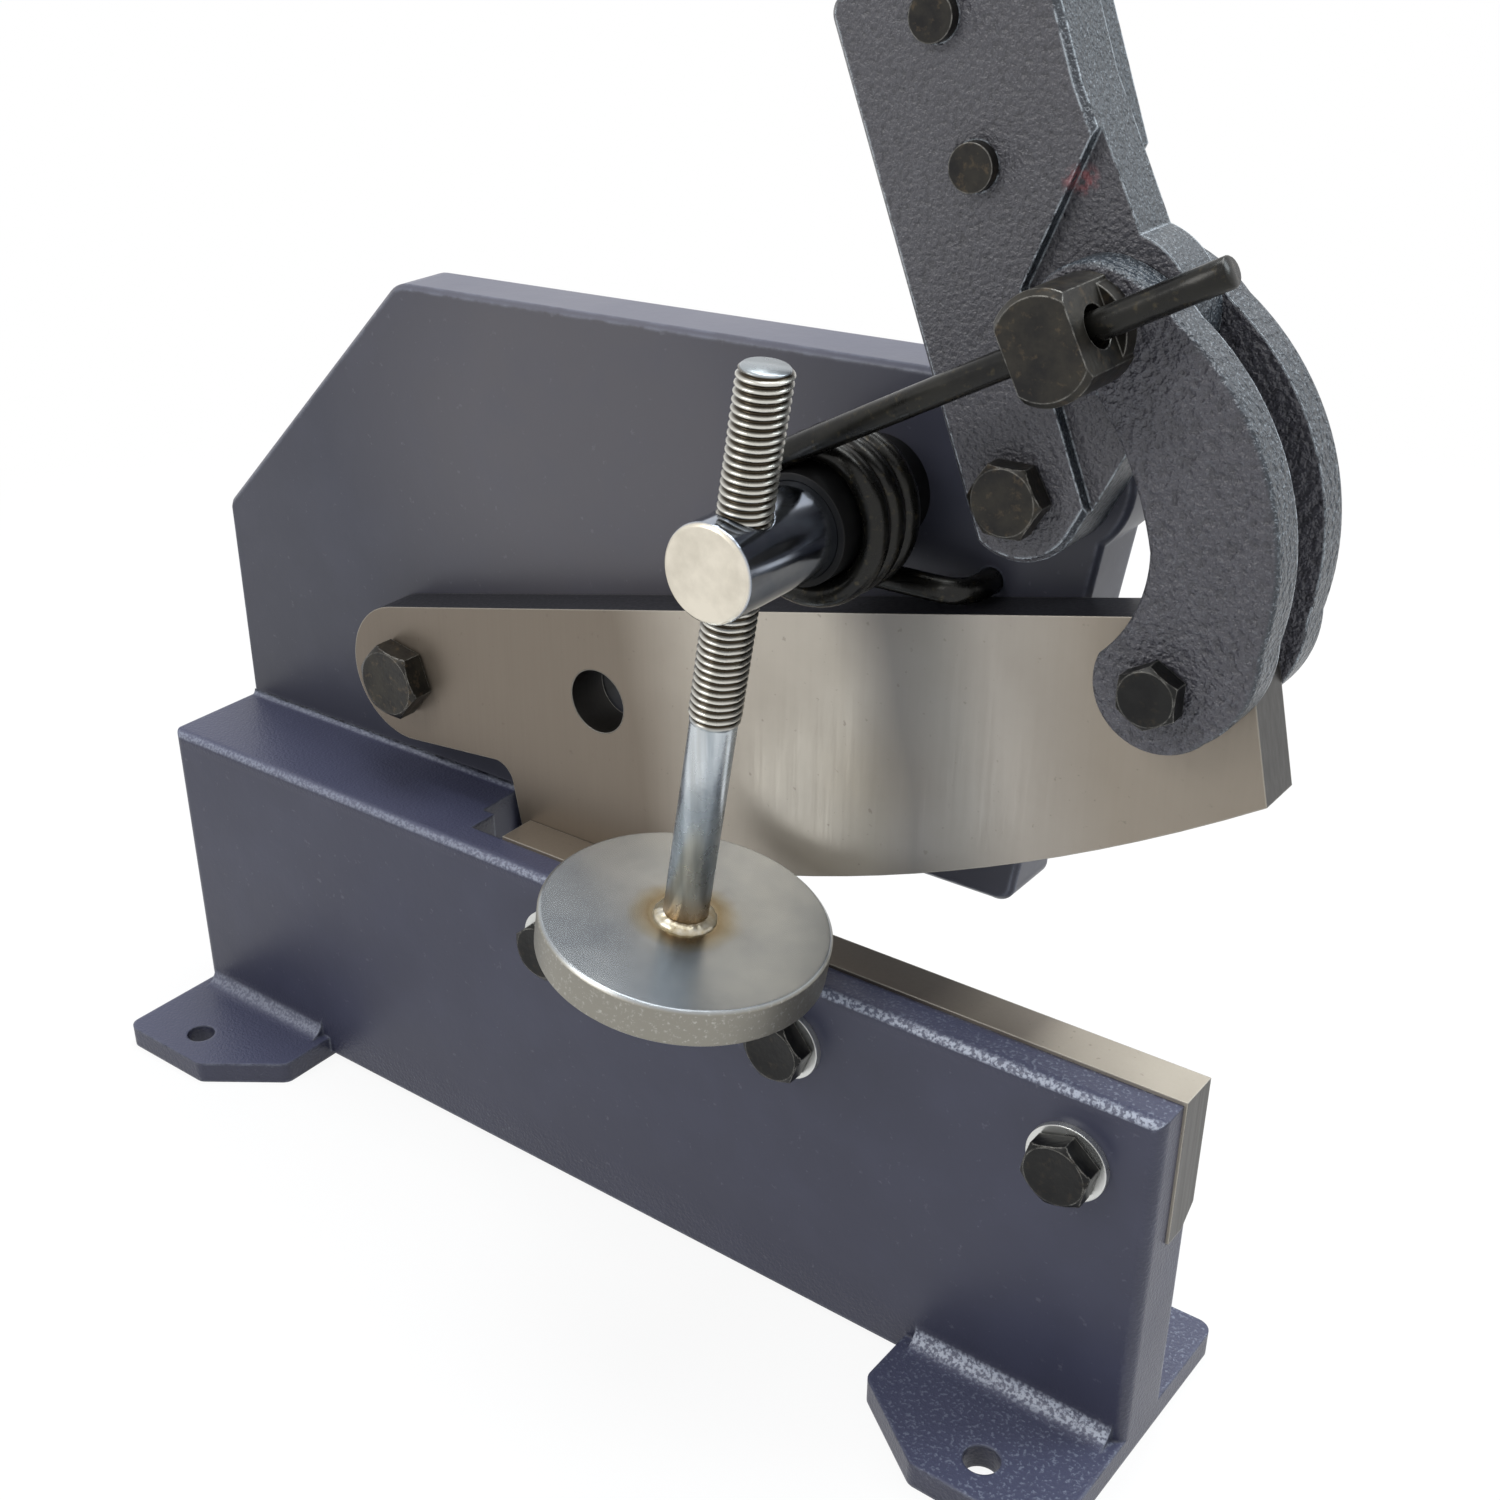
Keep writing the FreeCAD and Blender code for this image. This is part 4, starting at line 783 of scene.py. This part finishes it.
def spring_wire():
    # Round wire along the path, with its front end slightly chamfered
    path = spring_path()
    chamfer = 0.3
    around = 20
    rings = []
    side = Vector((0, 1, 0))
    for i, point in enumerate(path):
        before = path[max(i - 1, 0)]
        after = path[min(i + 1, len(path) - 1)]
        ahead = (after - before).normalized()
        side = (side - ahead * side.dot(ahead)).normalized()
        other = ahead.cross(side)
        sizes = [(0.0, WIRE_RADIUS)]
        if i == 0:
            sizes = [(0.0, WIRE_RADIUS - chamfer), (chamfer, WIRE_RADIUS)]
        for shift, radius in sizes:
            ring = []
            for k in range(around):
                angle = 2 * math.pi * k / around
                out = (side * math.cos(angle) + other * math.sin(angle)) * radius
                ring.append(part_point(*(point + ahead * shift + out)))
            rings.append(ring)
    return skin_rings("spring_wire", rings)


# Hexagon bolts and nuts. Shares are of the width across flats

CHAMFER_CUTS = [0.0, 0.1, 0.25, 0.4, 0.55, 0.7, 0.9, 1.2]
UNCUT = 9.0
CHAMFER_START = 0.96
CHAMFER_SLOPE = math.sqrt(3)
SHARP_ANGLE = math.radians(28)


def hex_out(angle, turn, across):
    # Distance from a hexagon's middle to its outline, with a corner at turn
    part = math.radians(60)
    return across / 2 / math.cos((angle - turn) % part - part / 2)


def chamfered(across, turn, cut):
    # Hexagon outline under the cone that cuts its corners, at a depth below the face
    flat = across / 2 * CHAMFER_START
    return lambda angle: min(hex_out(angle, turn, across), flat + cut * MM * CHAMFER_SLOPE)


def turned_mesh(node, centre, steps, turn, closed_ends):
    # Rings about a line that runs front to back: each step gives depth and outline
    around = 72
    rings = []
    for depth, outline in steps:
        ring = []
        for i in range(around):
            angle = turn + 2 * math.pi * i / around
            out = outline(angle) if callable(outline) else outline
            ring.append(Vector((centre.x + out * math.cos(angle), depth,
                                centre.z + out * math.sin(angle))))
        rings.append(ring)
    return skin_rings(node + "_body", rings, closed_ends, True)


def hex_bolt(node, solid_head, head, across, turn, shank):
    # Slightly dished head with cut corners, a washer face under it, and a plain shank
    low, high = [Vector(c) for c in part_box(node)]
    seat = low.y + solid_head * MM
    front = seat - head * MM
    across = across * MM
    turn = math.radians(turn)
    shank = shank * MM
    dish = 0.12 * MM
    dish_share = 0.38
    face_share = 0.42
    washer_face = 0.5 * MM
    washer_share = 0.475
    end_chamfer = 0.8 * MM
    steps = [(front + dish, across * dish_share), (front, across * face_share)]
    for cut in CHAMFER_CUTS:
        steps.append((front + cut * MM, chamfered(across, turn, cut)))
    steps += [(seat - washer_face, chamfered(across, turn, UNCUT)),
              (seat - washer_face, across * washer_share), (seat, across * washer_share),
              (seat, shank), (high.y - end_chamfer, shank), (high.y, shank - end_chamfer)]
    return turned_mesh(node, (low + high) / 2, steps, turn, True)


def hex_nut(node, bore):
    # Nut with its corners cut behind, a round seat in front and a countersunk bore
    low, high = [Vector(c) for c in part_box(node)]
    across = high.z - low.z
    bore = bore * MM
    seat_share = 0.47
    seat_depth = 0.4 * MM
    countersink = 0.8 * MM
    steps = [(low.y, bore), (low.y, across * seat_share),
             (low.y + seat_depth, chamfered(across, 0.0, UNCUT))]
    for cut in reversed(CHAMFER_CUTS):
        steps.append((high.y - cut * MM, chamfered(across, 0.0, cut)))
    steps += [(high.y, bore + countersink), (high.y - countersink, bore), (low.y, bore)]
    return turned_mesh(node, (low + high) / 2, steps, 0.0, False)


# Node, its solid's head height, head height, width across flats, turn in degrees, shank radius
BOLTS = [
    ("bed_bolt_left", 6.4, 5.8, 15.2, -18, 5.0),
    ("bed_bolt_middle", 6.4, 5.8, 15.2, 9, 5.0),
    ("bed_bolt_right", 6.4, 5.8, 15.2, 18, 5.0),
    ("blade_pivot_bolt", 6.4, 7.6, 19.5, -11, 6.0),
    ("lever_pivot_bolt", 5.6, 5.6, 14.8, 0, 5.0),
    ("link_bolt", 5.0, 5.0, 12.2, 30, 4.0)]
# Node and radius of the bore
NUTS = [("blade_pivot_nut", 6.1), ("lever_pivot_nut", 5.1), ("link_bolt_nut", 4.1)]


def add_bolts():
    bodies = frame["record"]["behaviour"]["bodies"]
    body_of = {node: body for body, group in bodies.items() for node in group}
    meshes = [(bolt[0], hex_bolt(*bolt)) for bolt in BOLTS]
    meshes += [(nut[0], hex_nut(*nut)) for nut in NUTS]
    darker = ("bed_bolt_left", "bed_bolt_middle", "bed_bolt_right", "link_bolt")
    for node, mesh in meshes:
        make_piece(node + "_body", mesh, body_of[node], "black_bolt",
                   bolt_black if node in darker else black, node)
        mesh.set_sharp_from_angle(angle=SHARP_ANGLE)


def add_spring():
    wire = make_piece("spring_wire", spring_wire(), None, "spring_steel", spring_steel(),
                      "spring_arm", "spring_coil")
    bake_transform(wire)


add_bolts()
make_piece("threaded_spindle", threaded_spindle(), "spindle", "zinc", plated_screw(),
           "hold_down_spindle")
make_piece("weld_bead", weld_bead(), "spindle", "zinc", weld_metal(), "hold_down_weld")
add_spring()

# Floor, world and lamps

WHITE = (1.0, 1.0, 1.0)
FLOOR_REACH = 6.0
FLOOR_TONE = (0.85, 0.85, 0.85)
FLOOR_WHITE_NEAR = 0.90
FLOOR_FADE = (0.25, 0.8)
ROOM_TONE = (0.94, 0.97, 1.0)
ROOM_LIGHT = 0.50


def add_floor():
    # White where the camera or a reflection sees it, a little less near the object's shadow
    mesh = bpy.data.meshes.new("floor")
    r = FLOOR_REACH
    mesh.from_pydata([(-r, -r, 0), (r, -r, 0), (r, r, 0), (-r, r, 0)], [], [(0, 1, 2, 3)])
    floor = bpy.data.objects.new("floor", mesh)
    scene.collection.objects.link(floor)
    material = bpy.data.materials.new("floor_white")
    n = Tree(material)
    away = n.vector("LENGTH", n.node("ShaderNodeTexCoord").outputs["Object"])
    share = n.levels(away, *FLOOR_FADE, FLOOR_WHITE_NEAR, 1.0)
    n.show("ShaderNodeOutputMaterial", n.times(n.seen_rays(), share),
           n.node("ShaderNodeBsdfDiffuse", Color=FLOOR_TONE),
           n.node("ShaderNodeEmission", Color=WHITE, Strength=1.0))
    mesh.materials.append(material)


def add_world():
    world = bpy.data.worlds.new("studio")
    scene.world = world
    n = Tree(world)
    n.show("ShaderNodeOutputWorld", n.seen_rays(),
           n.node("ShaderNodeBackground", Color=ROOM_TONE, Strength=ROOM_LIGHT),
           n.node("ShaderNodeBackground", Color=WHITE, Strength=1.0))


# Name, place, aim, width, height, watts, colour
LAMPS = [
    ("key", (-0.6, -1.2, 1.2), (0, 0, 0.15), 0.8, 0.8, 11.0, (1.0, 0.99, 0.97)),
    ("window", (1.0, 0.8, 1.2), (0.1, 0, 0.2), 0.5, 0.8, 9.0, (0.84, 0.94, 1.0)),
    ("sky", (0.1, 0.4, 1.8), (0, 0, 0.1), 1.2, 1.2, 36.0, (0.94, 0.98, 1.0))]


def add_lamp(name, place, aim, width, height, watts, color):
    data = bpy.data.lights.new(name, "AREA")
    data.shape = "RECTANGLE"
    data.size = width
    data.size_y = height
    data.energy = watts
    data.color = color
    lamp = bpy.data.objects.new(name, data)
    lamp.location = place
    lamp.rotation_euler = (Vector(aim) - Vector(place)).to_track_quat("-Z", "Y").to_euler()
    scene.collection.objects.link(lamp)


add_floor()
add_world()
for lamp in LAMPS:
    add_lamp(*lamp)
